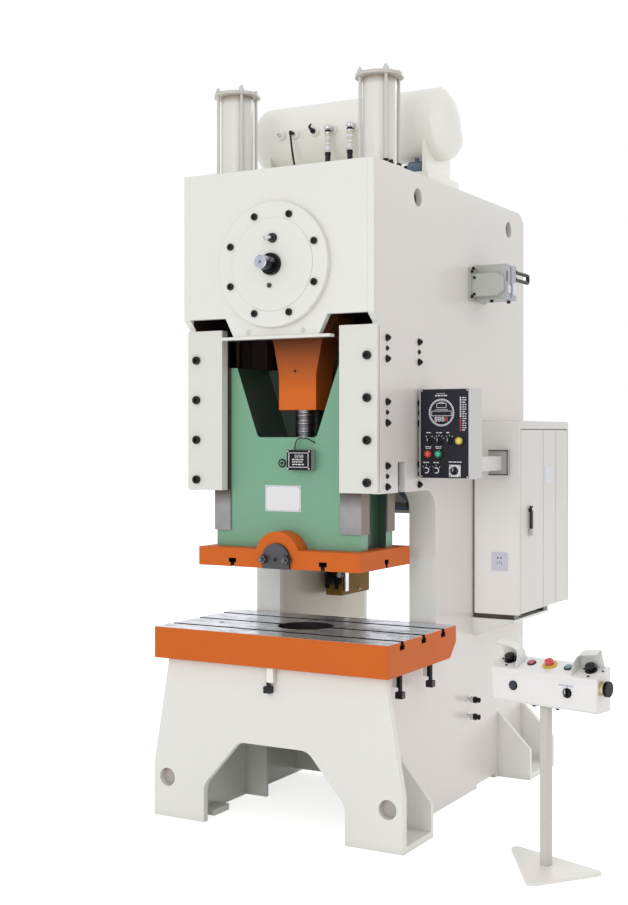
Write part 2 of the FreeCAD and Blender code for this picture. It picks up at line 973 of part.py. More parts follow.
def slide():
    plan = []
    for side, ends in ((1, (-1, 1)), (-1, (1, -1))):
        for end in ends:
            face = -s.slide_front if end < 0 else s.slide_back
            step = -s.post_front if end < 0 else s.post_back
            corner = [(slide_half * side, face), (slide_half * side, step),
                      ((slide_half - s.side_recess) * side, step)]
            plan += corner if end * side < 0 else corner[::-1]
    block = plate("Z", (slide_bottom, slide_top), plan)
    rise = (s.window_high_half - s.window_low_half) / (slide_top - window_bottom)
    above = slide_top + 10
    top_half = s.window_low_half + rise * (above - window_bottom)
    window = plate("Y", (-s.slide_front - 1, s.window_back), [
        (-s.window_low_half, window_bottom, s.window_fillet),
        (s.window_low_half, window_bottom, s.window_fillet),
        (top_half, above),
        (-top_half, above),
    ])
    seat = rod("Z", (0, 0), screw_bottom, window_bottom + 1, s.screw_radius)
    lock_hole = rod("Y", (-s.lock_x, lock_z), -s.slide_front - 1, -s.slide_front + 14, s.lock_radius)
    lock_core = rod("Y", (-s.lock_x, lock_z), -s.slide_front - 3, -s.slide_front + 15, s.lock_radius - 7)
    return join(cut(block, window, seat, lock_hole), lock_core)


def slide_strips():
    # hardened strips round the slide's four corners
    strips = []
    for inner, side in ((strip_inner_left, -1), (strip_inner_right, 1)):
        strips.append(plate("Z", (strip_bottom, slide_top), [
            (inner * side, -strip_front),
            (strip_face * side, -strip_front),
            (strip_face * side, -s.post_front),
            (slide_half * side, -s.post_front),
            (slide_half * side, -s.slide_front),
            (inner * side, -s.slide_front),
        ]))
        strips.append(plate("Z", (strip_bottom, slide_top), [
            (inner * side, strip_back),
            (inner * side, s.slide_back),
            (slide_half * side, s.slide_back),
            (slide_half * side, s.post_back),
            (strip_face * side, s.post_back),
            (strip_face * side, strip_back),
        ]))
    return group(strips)


def above(level, item, limits, half, top):
    # the part of a block that lies above a level
    common = doc.addObject("Part::Common", "Common")
    common.Base = item
    common.Tool = box((-half - 1, half + 1), limits, (level, top + 1))
    return common


def arch(limits, half, top, bottom):
    # a round-topped block seen from the front, flat at its bottom
    spring = top - half
    whole = join(box((-half, half), limits, (bottom, spring)), rod("Y", (0, spring), *limits, half))
    return above(bottom, whole, limits, half, top)


def slide_plate():
    body = box((-plate_half, plate_half), (-s.plate_front, s.plate_back), (plate_bottom, slide_bottom))
    boss_limits = (-s.plate_front, -s.slide_front)
    boss = above(slide_bottom, rod("Y", (0, boss_top - s.boss_half), *boss_limits, s.boss_half),
                 boss_limits, s.boss_half, boss_top)
    pocket = arch((-s.plate_front - 1, -s.slide_front), s.clamp_half, clamp_top, plate_bottom - 1)
    throat = box((-s.clamp_half, s.clamp_half), (-s.slide_front - 1, 0), (plate_bottom - 1, slide_bottom))
    shank = rod("Z", (0, 0), plate_bottom - 1, slide_bottom, s.shank_radius)
    neck = plate_bottom + s.plate_neck
    tools = [pocket, throat, shank]
    for _, side in SIDES:
        centre = s.plate_slot_x * side
        tools.append(box((centre - s.plate_slot_half, centre + s.plate_slot_half),
                         (-s.plate_front - 1, s.plate_back + 1), (plate_bottom - 1, neck + 1)))
        tools.append(box((centre - s.plate_tee_half, centre + s.plate_tee_half),
                         (-s.plate_front - 1, s.plate_back + 1), (neck, neck + s.plate_tee)))
        outer = (plate_half + 1) * side
        tools.append(box((centre, outer), (-s.plate_slot_half, s.plate_slot_half),
                         (plate_bottom - 1, neck + 1)))
        tools.append(box((centre, outer), (-s.plate_tee_half, s.plate_tee_half),
                         (neck, neck + s.plate_tee)))
    return cut(join(body, boss), *tools)


def shank_clamp():
    front = arch((-s.plate_front - s.clamp_proud, -s.slide_front), s.clamp_half, clamp_top, plate_bottom)
    back = box((-s.clamp_half, s.clamp_half), (-s.slide_front - 1, 0), (plate_bottom, slide_bottom))
    bore = rod("Z", (0, 0), plate_bottom - 1, clamp_top, s.shank_radius)
    height = plate_bottom + (slide_bottom - plate_bottom) / 2
    face = -s.plate_front - s.clamp_proud
    centre_hole = rod("Y", (0, height), face - 1, face + 30, 9)
    nuts = [join(hexagon("Y", (s.clamp_nut_x * side, height), face - 18, face, s.clamp_nut_radius),
                 rod("Y", (s.clamp_nut_x * side, height), face - 30, face + 1, 8)) for _, side in SIDES]
    return join(cut(join(front, back), bore, centre_hole), *nuts)


def height_indicator():
    right = s.meter_left + s.meter_width
    top = meter_bottom + s.meter_height
    face = -s.slide_front - s.meter_depth
    case = box((s.meter_left, right), (face, -s.slide_front), (meter_bottom, top))
    screen = box((s.meter_left + 12, right - 12), (face - 1, face + 4), (meter_bottom + 14, top - 14))
    return cut(case, screen)


finish("slide", slide())
finish("slide_strips", slide_strips())
finish("slide_plate", slide_plate())
finish("shank_clamp", shank_clamp())
finish("height_indicator", height_indicator())


# crank drive

pin_height = s.crank_height - s.throw
eye_half_y = s.rod_half_y
cheek_start = eye_half_y + s.cheek_gap
cheek_end = cheek_start + s.cheek_wall
cover_face = -s.head_front - s.cover_wall


def connecting_rod():
    # a square shank that flares into the big end; the eye is a slot, where the linkage is opened
    low, high = pin_height - s.eye_half_height, pin_height + s.eye_half_height
    body = plate("Y", (-eye_half_y, eye_half_y), [
        (-s.rod_half_x, rod_bottom),
        (s.rod_half_x, rod_bottom),
        (s.rod_half_x, rod_flare, 60),
        (s.rod_neck_half, rod_neck, 40),
        (s.rod_eye_half, low, 40),
        (s.rod_eye_half, high, 90),
        (-s.rod_eye_half, high, 90),
        (-s.rod_eye_half, low, 40),
        (-s.rod_neck_half, rod_neck, 40),
        (-s.rod_half_x, rod_flare, 60),
    ])
    slot = plate("Y", (-eye_half_y - 1, eye_half_y + 1), [
        (-s.eye_slot_half, pin_height - s.eye_slot_rise, 70),
        (s.eye_slot_half, pin_height - s.eye_slot_rise, 70),
        (s.eye_slot_half, pin_height + s.eye_slot_rise, 70),
        (-s.eye_slot_half, pin_height + s.eye_slot_rise, 70),
    ])
    bore = rod("Z", (0, 0), rod_bottom - 1, rod_bottom + s.screw_in_rod, s.screw_radius)
    return cut(body, slot, bore)


def adjusting_screw():
    # the ball screw, with thread-like rings where it shows
    pitch, rings = 12, 9
    start = window_bottom + 6
    outline = [(0, screw_bottom), (s.screw_radius, screw_bottom), (s.screw_radius, start)]
    for k in range(rings):
        low = start + k * pitch
        outline += [(s.screw_radius - 4, low + 3), (s.screw_radius, low + 6), (s.screw_radius, low + 9)]
    outline += [(s.screw_radius, rod_bottom + s.screw_in_rod), (0, rod_bottom + s.screw_in_rod)]
    return turned("Z", (0, 0, 0), outline)


def crankshaft():
    # nose and collar in front, main journals, two cheeks with the pin between them, and the long rear shaft
    nose_end = cover_face - s.nose_length
    nose = join(
        cone("Y", (0, s.crank_height), nose_end, nose_end + 4, s.nose_radius - 4, s.nose_radius),
        rod("Y", (0, s.crank_height), nose_end + 4, cover_face, s.nose_radius),
        rod("Y", (0, s.crank_height), cover_face - s.collar_length, -s.head_front, s.collar_radius))
    journal = rod("Y", (0, s.crank_height), -s.head_front, -cheek_start, s.journal_radius)
    pin = rod("Y", (0, pin_height), -cheek_end, cheek_end, s.pin_radius)
    cheeks = [rod("Y", (0, s.crank_height), *limits, s.cheek_radius)
              for limits in ((-cheek_end, -cheek_start), (cheek_start, cheek_end))]
    back = rod("Y", (0, s.crank_height), cheek_end - 1, s.web_front + s.cross_wall, s.journal_radius)
    shaft = rod("Y", (0, s.crank_height), s.web_front + s.cross_wall,
                s.flywheel_front + s.flywheel_width + 30, s.shaft_radius)
    keyway = box((-6, 6), (nose_end - 1, cover_face - 30), (s.crank_height + s.nose_radius - 6,
                                                           s.crank_height + s.nose_radius + 5))
    centre = rod("Y", (0, s.crank_height), nose_end - 1, nose_end + 18, 7)
    return cut(join(nose, journal, pin, *cheeks, back, shaft), keyway, centre)


def crank_cover():
    # flange, raised inner disc and the hub behind it that holds the front journal
    bore, hub = s.collar_radius + s.bearing_gap, s.journal_radius + s.bearing_gap
    front, back = -s.cover_wall, s.cross_wall
    disc = turned("Y", (0, -s.head_front, s.crank_height), [
        (bore, front - 2),
        (s.cover_inner, front - 2),
        (s.cover_inner, front),
        (s.cover_radius, front, 5),
        (s.cover_radius, 0),
        (s.cover_inner - 0.5, 0),
        (s.cover_inner - 0.5, back),
        (hub + 40, back),
        (hub + 40, back + 85),
        (hub, back + 85),
        (hub, -0.3),
        (bore, -0.3),
    ])
    face = cover_face - 2
    port_height = s.crank_height + s.fitting_rise
    port = join(rod("Y", (6, port_height), face - 14, face + 1, s.fitting_radius),
                rod("Y", (6, port_height), face - 24, face - 13, s.fitting_radius - 8),
                rod("X", (face - 19, port_height), -24, 6, 7))
    stud = rod("Y", (-9, s.crank_height - s.stud_drop), face - 8, face + 1, s.stud_radius)
    return join(disc, port, stud)


def flywheel():
    rim_back = s.flywheel_width
    bore = s.shaft_radius + s.bearing_gap
    outline = [(bore, 10), (bore + 60, 10), (bore + 60, 45), (flywheel_radius - 70, 45),
               (flywheel_radius - 70, 0), (flywheel_radius, 0)]
    for k in range(4):
        low = 24 + k * 28
        outline += [(flywheel_radius, low), (flywheel_radius - s.groove_depth, low + 5),
                    (flywheel_radius - s.groove_depth, low + 13), (flywheel_radius, low + 18)]
    outline += [(flywheel_radius, rim_back), (flywheel_radius - 70, rim_back),
                (flywheel_radius - 70, 85), (bore + 60, 85), (bore + 60, rim_back - 10),
                (bore, rim_back - 10)]
    return turned("Y", (0, s.flywheel_front, s.crank_height), outline)


def motor_pulley():
    bore = s.motor_shaft_radius + s.bearing_gap
    outline = [(bore, 0), (s.pulley_radius, 0)]
    for k in range(4):
        low = 24 + k * 28
        outline += [(s.pulley_radius, low), (s.pulley_radius - s.groove_depth, low + 5),
                    (s.pulley_radius - s.groove_depth, low + 13), (s.pulley_radius, low + 18)]
    outline += [(s.pulley_radius, s.flywheel_width), (bore, s.flywheel_width)]
    return turned("Y", (s.motor_x, s.flywheel_front, motor_z), outline)


def drive_motor():
    # a foot-mounted motor on a cross shelf between the side plates
    front = s.flywheel_front - 40 - s.motor_length
    back = s.flywheel_front - 40
    centre = (s.motor_x, motor_z)
    case = rod("Y", centre, front, back, s.motor_radius)
    shaft = rod("Y", centre, back, s.flywheel_front + s.flywheel_width + 6, s.motor_shaft_radius)
    shelf_top = motor_z - s.motor_radius - 10
    foot = box((s.motor_x - 90, s.motor_x + 90), (front + 60, back - 60), (shelf_top, motor_z - 60))
    shelf = box((-inner_half, inner_half), (front, back), (shelf_top - 20, shelf_top))
    terminal = box((s.motor_x + s.motor_radius - 30, s.motor_x + s.motor_radius + 50),
                   (front + 100, front + 200), (motor_z - 50, motor_z + 50))
    return join(case, shaft, foot, shelf, terminal)


def v_belt(index):
    # a belt as a thin loop that clears the bottoms of both grooves
    wheel = flywheel_radius - s.groove_depth + 0.4
    pulley = s.pulley_radius - s.groove_depth + 0.4
    middle = s.flywheel_front + 33 + index * 28
    limits = (middle - 3.5, middle + 3.5)
    thickness = s.groove_depth - 2

    def loop(grow):
        big, small = wheel + grow, pulley + grow
        run_x, run_z = s.motor_x, motor_z - s.crank_height
        length = root(run_x * run_x + run_z * run_z)
        sine = (big - small) / length
        cosine = root(1 - sine * sine)
        along, across = (run_x / length, run_z / length), (-run_z / length, run_x / length)
        corners = []
        for side in (1, -1):
            normal = [along[k] * sine + across[k] * cosine * side for k in (0, 1)]
            pair = [(normal[0] * big, s.crank_height + normal[1] * big),
                    (s.motor_x + normal[0] * small, motor_z + normal[1] * small)]
            corners += pair if side > 0 else pair[::-1]
        straight = plate("Y", limits, corners)
        return join(straight, rod("Y", (0, s.crank_height), *limits, big),
                    rod("Y", (s.motor_x, motor_z), *limits, small))

    return cut(loop(thickness), loop(0))


def flywheel_guard():
    # a folded sheet cover closing the frame's back over the flywheel and belts
    low, high = motor_z - 170, frame_top - s.back_corner
    back = s.frame_back + s.guard_depth
    outer = box((-inner_half, inner_half), (s.frame_back, back), (low, high))
    inside = (s.sheet - inner_half, inner_half - s.sheet)
    inner = box(inside, (s.frame_back - 1, back - s.sheet), (low + s.sheet, high - s.sheet))
    rim = cut(box((-s.frame_half, s.frame_half), (s.frame_back, s.frame_back + s.sheet), (low - 30, high + 30)),
              box(inside, (s.frame_back - 1, s.frame_back + s.sheet + 1), (low + s.sheet, high - s.sheet)))
    return join(cut(outer, inner), rim)


finish("connecting_rod", connecting_rod())
finish("adjusting_screw", adjusting_screw())
finish("crankshaft", crankshaft())
finish("crank_cover", crank_cover())
finish("flywheel", flywheel())
finish("motor_pulley", motor_pulley())
finish("drive_motor", drive_motor())
finish("v_belts", group([v_belt(k) for k in range(4)]))
finish("flywheel_guard", flywheel_guard())


# cap screws of the cover, the guides and the side plates

def cap_screws():
    screws = []
    face = cover_face
    for k in range(8):
        angle = math.radians(22.5 + 45 * k)
        centre = (s.cover_screw_circle * math.cos(angle),
                  s.crank_height + s.cover_screw_circle * math.sin(angle))
        screws.append(rod("Y", centre, face - 10, face, s.cover_screw_radius))
    guide_middle = s.frame_half - s.guide_screw_inset
    guide_pitch = (guide_top - arm_bottom) / 4
    for _, side in SIDES:
        for k in range(4):
            height = arm_bottom + guide_pitch * (k + 0.27)
            screws.append(rod("Y", (guide_middle * side, height), -s.guide_front - 16, -s.guide_front, 19))
        for y in (-s.guide_bolt_front, s.guide_bolt_back):
            for k in range(3):
                middle = arm_bottom + 72 + k * 268
                for offset, radius, proud in ((-44, 16, 18), (0, 11, 9), (44, 16, 18)):
                    screws.append(hexagon("X", (y, middle + offset), s.frame_half * side,
                                          (s.frame_half + proud) * side, radius))
    return group(screws)


finish("cap_screws", cap_screws())


# counterbalance cylinders and air tank

def counterbalance_cylinder(side):
    centre = (cylinder_x * side, s.cylinder_y)
    top = frame_top + s.cylinder_height
    tube = rod("Z", centre, frame_top, top, s.cylinder_radius)
    base = box((centre[0] - 80, centre[0] + 80), (centre[1] - 80, centre[1] + 80),
               (frame_top, frame_top + 16))
    cap = rod("Z", centre, top, top + s.cap_wall, s.cap_radius)
    ties = []
    for x in (-1, 1):
        for y in (-1, 1):
            spot = (centre[0] + s.tie_offset * x, centre[1] + s.tie_offset * y)
            ties.append(rod("Z", spot, frame_top, top + s.cap_wall + s.tie_nut_height, s.tie_radius))
            ties.append(hexagon("Z", spot, top + s.cap_wall, top + s.cap_wall + s.tie_nut_height - 8,
                                s.tie_radius + 5))
    bore = rod("Z", centre, frame_top + 16, top, s.cylinder_bore)
    passage = rod("Z", centre, frame_top - 1, frame_top + 17, s.piston_rod_radius + 2)
    return join(cut(join(tube, base, cap), bore, passage), *ties)


def counterbalance_rod(side):
    # a piston on a rod that stands on a lug in the slide's side recess
    centre = (cylinder_x * side, s.cylinder_y)
    piston_low = frame_top + s.piston_rest
    lug_top = slide_top - s.lug_drop
    lug = box(((slide_half - s.side_recess) * side, (cylinder_x + s.piston_rod_radius) * side),
              (s.cylinder_y - s.piston_rod_radius, s.cylinder_y + s.piston_rod_radius),
              (lug_top - s.lug_height, lug_top))
    stem = rod("Z", centre, lug_top, piston_low, s.piston_rod_radius)
    piston = rod("Z", centre, piston_low, piston_low + s.piston_height, s.cylinder_bore - s.bearing_gap)
    return join(lug, stem, piston)


def tank_body():
    return rod("X", (s.tank_y, tank_z), -tank_half, tank_half, s.tank_radius)


def air_tank():
    ends = []
    for _, side in SIDES:
        end = doc.addObject("Part::Ellipsoid", "DishedEnd")
        bind(end, "Radius1", s.tank_dish)
        bind(end, "Radius2", s.tank_radius)
        bind(end, "Radius3", s.tank_radius)
        ends.append(put(end, "X", (s.tank_y, tank_z), tank_half * side))
    saddles = []
    rail_top = frame_top + s.rail_height
    for _, side in SIDES:
        low = (saddle_x - s.saddle_wall) * side
        saddles.append(box((low, saddle_x * side), (s.saddle_front, s.saddle_back), (rail_top, tank_z - 60)))
        saddles.append(box(((saddle_x - 50) * side, (saddle_x + 15) * side),
                           (s.saddle_front - 10, s.rail_back), (frame_top, rail_top)))
    return join(tank_body(), *ends, *saddles)


TANK_FITTINGS = (-322, -245, -137, -42, 73)
HOSE_FITTINGS = (-42, 73)


def tank_face(height):
    # how far in front of the tank's axis its shell lies at this height above the axis
    return s.tank_y - root(s.tank_radius * s.tank_radius - height * height)


def air_fittings():
    height = -s.fitting_drop
    face = tank_face(height)
    fittings = []
    for x in TANK_FITTINGS:
        boss = rod("Y", (x, tank_z + height), face - 16, face + 6, 17)
        nipple = rod("Y", (x, tank_z + height), face - 40, face - 16, 11)
        fitting = [boss, nipple]
        if x in HOSE_FITTINGS:
            drop = face - 50
            hose_end = tank_z - s.hose_end_drop
            fitting.append(rod("Z", (x, drop), hose_end, tank_z + 9, s.hose_radius))
            fitting.append(rod("Z", (x, drop), hose_end, hose_end + 65, s.hose_radius + 2))
        fittings.append(cut(join(*fitting), tank_body()))
    drain_x, drain_y, tank_low = tank_half - s.drain_inset, s.tank_y - 50, tank_z - s.tank_radius
    fittings.append(cut(join(rod("Z", (drain_x, drain_y), tank_low - 50, tank_low + 20, 9),
                             rod("X", (drain_y, tank_low - 29), drain_x - s.drain_length / 2,
                                 drain_x + s.drain_length / 2, s.drain_radius)),
                        tank_body()))
    for k in (0, 1):
        centre = (s.coupling_y, s.coupling_low + s.coupling_pitch * k)
        end = s.frame_half + s.coupling_length
        fittings.append(join(rod("X", centre, s.frame_half, end, s.coupling_radius - 5),
                             rod("X", centre, s.frame_half + 14, s.frame_half + 42, s.coupling_radius)))
    return group(fittings)


def slanted_rod(start, end, radius):
    # a rod between two points
    run = Vector(*[(b - a).value for a, b in zip(start, end)])
    item = doc.addObject("Part::Cylinder", "SlantedRod")
    bind(item, "Radius", radius)
    item.Height = run.Length
    item.Placement = Placement(Vector(), Rotation(Vector(0, 0, 1), run))
    for letter, place in zip("xyz", start):
        bind(item, f"Placement.Base.{letter}", place)
    return item


def hoses():
    # three hoses from the tank to the head's top, and the valve's cable loop
    face = tank_face(-s.fitting_drop)
    runs = [rod("Z", (x, face - 50), frame_top, tank_z - s.hose_end_drop, s.hose_radius)
            for x in HOSE_FITTINGS]
    runs.append(slanted_rod((dim(-195), face - 47, frame_top + 3),
                            (dim(-245), face - 47, tank_z - s.fitting_drop), 7))
    loop_x, loop_z = s.frame_half + s.valve_reach - 10, valve_top - 44
    back = s.valve_back
    bend_ring = half_ring(loop_x, back + s.loop_reach, loop_z, s.loop_bend, s.loop_radius)
    strands = [rod("Y", (loop_x, loop_z + offset), back, back + s.loop_reach, s.loop_radius)
               for offset in (-s.loop_bend, s.loop_bend)]
    return group(runs + [join(bend_ring, *strands)])


finish("counterbalance_cylinders", group([counterbalance_cylinder(side) for _, side in SIDES]))
finish("counterbalance_rods", group([counterbalance_rod(side) for _, side in SIDES]))
finish("air_tank", air_tank())
finish("air_fittings", air_fittings())
finish("hoses", hoses())


# clutch valve on the right side

def clutch_valve():
    flange = box((s.frame_half, s.frame_half + 14), (s.valve_front - 10, s.valve_back + 10),
                 (valve_bottom - 7, valve_top - 15))
    reach = s.frame_half + s.valve_reach
    body = box((s.frame_half + 14, reach), (s.valve_front + 45, s.valve_back), (valve_bottom, valve_top))
    housing = plate("Y", (s.valve_front, s.valve_front + 45), [
        (s.frame_half + 14, valve_bottom + 14),
        (reach - 6, valve_bottom + 14, 45),
        (reach - 6, valve_top - 45, 30),
        (s.frame_half + 14, valve_top - 45),
    ])
    return join(flange, body, housing)


finish("clutch_valve", clutch_valve())


# electrical cabinet

cabinet_left = s.frame_half + s.cabinet_gap
cabinet_right = cabinet_left + s.cabinet_width
door_back_face = cabinet_right - s.door_wall
door_high = cabinet_top - s.hood_height - s.door_gap
door_low = cabinet_bottom + s.door_gap
SEAM = 5


def electrical_cabinet():
    # a sheet case with two door openings on its right face, under a hood
    case = box((cabinet_left, cabinet_right), (s.cabinet_front, s.cabinet_back),
               (cabinet_bottom, cabinet_top))
    seats = box((door_back_face, cabinet_right + 1), (s.door_first - s.door_gap, s.door_last + s.door_gap),
                (cabinet_bottom - 1, cabinet_top - s.hood_height))
    inside = box((cabinet_left + s.sheet, door_back_face - s.sheet),
                 (s.cabinet_front + s.sheet, s.cabinet_back - s.sheet),
                 (cabinet_bottom + s.sheet, cabinet_top - s.hood_height - s.sheet))
    openings = []
    for first, last in ((s.door_first + 20, s.door_seam - 20), (s.door_seam + SEAM + 20, s.door_last - 20)):
        openings.append(box((door_back_face - s.sheet - 1, door_back_face + 1), (first, last),
                            (door_low + 30, door_high - 30)))
    # four stand-off pads against the side plate
    pads = []
    for y in (s.cabinet_front + 60, s.cabinet_back - 60):
        for height in (cabinet_bottom + 80, cabinet_top - 80):
            pads.append(rod("X", (y, height), s.frame_half, cabinet_left + s.sheet, 18))
    return join(cut(case, seats, inside, *openings), *pads)


def cabinet_door(first, last):
    return box((door_back_face + 0.3, cabinet_right), (first, last), (door_low, door_high))


def door_handle():
    # a flush pivot with its lever
    stem = rod("X", (s.handle_y, handle_high - 20), cabinet_right + 0.3, cabinet_right + 12, 9)
    lever = box((cabinet_right + 6, cabinet_right + 18), (s.handle_y - 9, s.handle_y + 9),
                (handle_low, handle_high))
    return join(stem, lever)


def cabinet_bracket():
    # a welded shelf with sloping webs, and rubber strips under the cabinet
    low = cabinet_bottom - s.bracket_drop
    shelf_top = cabinet_bottom - 22
    shelf = box((s.frame_half, cabinet_right - 20), (s.cabinet_front - 8, s.cabinet_back - 230),
                (shelf_top - 12, shelf_top))
    webs = [plate("Y", limits, [
        (s.frame_half, low),
        (s.frame_half + 30, low),
        (cabinet_right - 40, shelf_top - 12),
        (s.frame_half, shelf_top - 12),
    ]) for limits in ((s.cabinet_front - 8, s.cabinet_front + 8), (s.cabinet_back - 246, s.cabinet_back - 230))]
    pads = [box((cabinet_left + 4, cabinet_right - 24), (y, y + 60), (shelf_top, cabinet_bottom))
            for y in (s.cabinet_front, s.cabinet_back - 300)]
    return join(shelf, *webs, *pads)


finish("electrical_cabinet", electrical_cabinet())
finish("cabinet_door_front", cabinet_door(s.door_first, s.door_seam))
finish("cabinet_door_rear", cabinet_door(s.door_seam + SEAM, s.door_last))
finish("door_handle", door_handle())
finish("cabinet_bracket", cabinet_bracket())


# control arm, panel and its controls

PANEL_CONTROLS = {
    # name: (distance from the panel's left edge, height above its bottom, kind)
    "panel_selector_left": (46, 164, "selector"),
    "panel_selector_middle": (93, 164, "selector"),
    "panel_selector_right": (141, 164, "selector"),
    "panel_button_yellow": (189, 165, "button"),
    "panel_button_red": (44, 108, "button"),
    "panel_button_green": (92, 108, "button"),
    "panel_key_left": (33, 37, "key"),
    "panel_key_right": (80, 37, "key"),
    "panel_key_switch": (168, 36, "key_knob"),
}
SOCKET_DEPTH = 24
BEZEL_HALF = 26
BEZEL_WALL = 6


def control_radius(kind):
    radii = {"selector": s.selector_radius, "button": s.button_radius, "key": s.key_radius,
             "key_knob": s.key_knob_radius}
    return radii[kind]


def control_face(kind):
    return s.panel_front - BEZEL_WALL if kind == "key_knob" else s.panel_front


def on_panel(across, up, kind):
    return panel_left + across, panel_low + up, kind


def control_arm():
    tube = cut(
        box((arm_x - s.arm_side / 2, arm_x + s.arm_side / 2), (s.panel_back, s.cabinet_front),
            (arm_low, arm_low + s.arm_side)),
        box((arm_x - s.arm_side / 2 + 4, arm_x + s.arm_side / 2 - 4), (s.panel_back - 1, s.cabinet_front + 1),
            (arm_low + 4, arm_low + s.arm_side - 4)))
    clasp = cut(
        box((clasp_left, clasp_right), (s.cabinet_front - s.clasp_reach, s.cabinet_front),
            (clasp_low, clasp_high)),
        box((arm_x - s.arm_side / 2, arm_x + s.arm_side / 2),
            (s.cabinet_front - s.clasp_reach - 1, s.cabinet_front + 1), (arm_low, arm_low + s.arm_side)))
    return join(tube, clasp)


def control_panel():
    case = box((panel_left, panel_right), (s.panel_front, s.panel_back), (panel_low, panel_high))
    x, z, _ = on_panel(*PANEL_CONTROLS["panel_key_switch"])
    bezel = box((x - BEZEL_HALF, x + BEZEL_HALF), (s.panel_front - BEZEL_WALL, s.panel_front),
                (z - BEZEL_HALF, z + BEZEL_HALF))
    sockets = []
    for x, z, kind in [on_panel(*control) for control in PANEL_CONTROLS.values()]:
        face = control_face(kind)
        sockets.append(rod("Y", (x, z), face - 1, face + SOCKET_DEPTH, control_radius(kind) + s.control_gap))
    return cut(join(case, bezel), *sockets)


def push_button(x, z, face):
    return rod("Y", (x, z), face - s.button_proud, face + SOCKET_DEPTH - s.button_travel - 1, s.button_radius)


def selector(x, z, face, radius):
    # a round knob with a raised grip
    knob = rod("Y", (x, z), face - 9, face + SOCKET_DEPTH - 2, radius)
    grip = box((x - 4, x + 4), (face - 20, face - 8), (z - radius + 1, z + radius - 1))
    return join(knob, grip)


def key_switch(x, z, face, radius):
    # a lock barrel with the key in it
    barrel = rod("Y", (x, z), face - 3, face + SOCKET_DEPTH - 2, radius)
    blade = box((x - 1.5, x + 1.5), (face - 18, face - 2), (z - 4, z + 4))
    bow = rod("X", (face - 24, z), x - 1.5, x + 1.5, 11)
    return join(barrel, blade, bow)


def panel_control(x, z, kind):
    face = control_face(kind)
    if kind == "button":
        return push_button(x, z, face)
    if kind == "key":
        return key_switch(x, z, face, s.key_radius)
    return selector(x, z, face, control_radius(kind))


finish("control_arm", control_arm())
finish("control_panel", control_panel())
for name, control in PANEL_CONTROLS.items():
    finish(name, panel_control(*on_panel(*control)))


# air unit with its gauge, on the left side plate behind the throat

def air_unit():
    body = box((-unit_left, -unit_right), (s.unit_front, s.unit_back), (s.unit_low, s.unit_high))
    knob = rod("Y", (-unit_right - 55, s.unit_high - 50), s.unit_front - 26, s.unit_front + 1, 26)
    gauge = rod("X", (s.unit_front + s.unit_gauge, s.unit_high - 38), -unit_right - 1, -unit_right + 22, 27)
    port = rod("X", (s.unit_front + s.unit_port, s.unit_high - 40), -unit_right - 1, -unit_right + 14, 14)
    return join(body, knob, gauge, port)


finish("air_unit", air_unit())


# two-hand console on its stand

top_rise = s.console_back_top - s.console_front_top
top_middle_y = (s.console_back - s.console_front) / 2
top_middle_z = (s.console_back_top + s.console_front_top) / 2
front_face = s.console_bevel_depth - s.console_front
TOP_SOCKET = 24
FRONT_SOCKET = 22
TOP_CONTROLS = {
    # name: (place along the box, radius of its stem, radius of its head, height of its head)
    "console_palm_left": (-s.palm_x, s.palm_stem, s.palm_radius, 14),
    "console_button_red": (-s.small_button_x, s.small_radius, None, 8),
    "console_stop": (dim(0), s.palm_stem, s.stop_radius, 12),
    "console_button_green": (s.small_button_x, s.small_radius, None, 8),
    "console_palm_right": (s.palm_x, s.palm_stem, s.palm_radius, 14),
}


def console_stand():
    # a three-cornered foot plate, a square post and the flange that carries the box
    foot = plate("Z", (0, s.base_wall), [(-267, 146, 25), (69, -249, 25), (222, 76, 25)])
    half = s.post_side / 2
    flange_low = s.console_low - s.flange_plate
    post = cut(
        box((-half, half), (-half, half), (s.base_wall, flange_low)),
        box((s.post_wall - half, half - s.post_wall), (s.post_wall - half, half - s.post_wall),
            (s.base_wall, flange_low + 1)))
    flange = box((-s.flange_half, s.flange_half), (-half - 8, half + 8), (flange_low, s.console_low))
    bolts = [hexagon("Z", ((s.flange_half - 9) * side, 0), flange_low - 9, flange_low, 8)
             for _, side in SIDES]
    return join(foot, post, flange, *bolts)


def on_top(tool):
    # lays what is made round the origin on the middle of the sloping top plate
    tool = group([tool])
    tool.Placement = Placement(Vector(), Rotation(Vector(1, 0, 0), console_tilt))
    bind(tool, "Placement.Base.x", s.console_middle)
    bind(tool, "Placement.Base.y", top_middle_y)
    bind(tool, "Placement.Base.z", top_middle_z)
    return tool


def console_box():
    left, right = s.console_middle - s.console_half, s.console_middle + s.console_half
    case = plate("X", (left, right), [
        (front_face, s.console_low),
        (s.console_back, s.console_low),
        (s.console_back, s.console_back_top),
        (-s.console_front, s.console_front_top, 4),
        (front_face, s.console_bevel),
    ])
    sockets = [rod("Y", (s.console_middle + x, s.front_control_z), front_face - 1, front_face + FRONT_SOCKET,
                   s.front_radius + s.control_gap) for x in (-s.front_button_x, s.front_selector_x)]
    for place, radius, _, _ in TOP_CONTROLS.values():
        sockets.append(on_top(rod("Z", (place, s.control_line), -TOP_SOCKET, 3, radius + s.control_gap)))
    stop_plate = on_top(cut(rod("Z", (0, s.control_line), -3, 4, s.stop_plate_radius),
                            rod("Z", (0, s.control_line), -4, 5, s.palm_stem + s.control_gap)))
    return join(cut(case, *sockets), stop_plate)


def top_button(place, radius, head, height):
    # a plain button, or a mushroom head on its stem
    centre = (place, s.control_line)
    stem = rod("Z", centre, s.button_travel + 1 - TOP_SOCKET, height, radius)
    if head is None:
        return on_top(stem)
    return on_top(join(stem, cone("Z", centre, dim(height), dim(height + 3), head - 2, head),
                       rod("Z", centre, height + 3, height + 11, head),
                       cone("Z", centre, dim(height + 11), dim(height + 14), head, head - 3)))


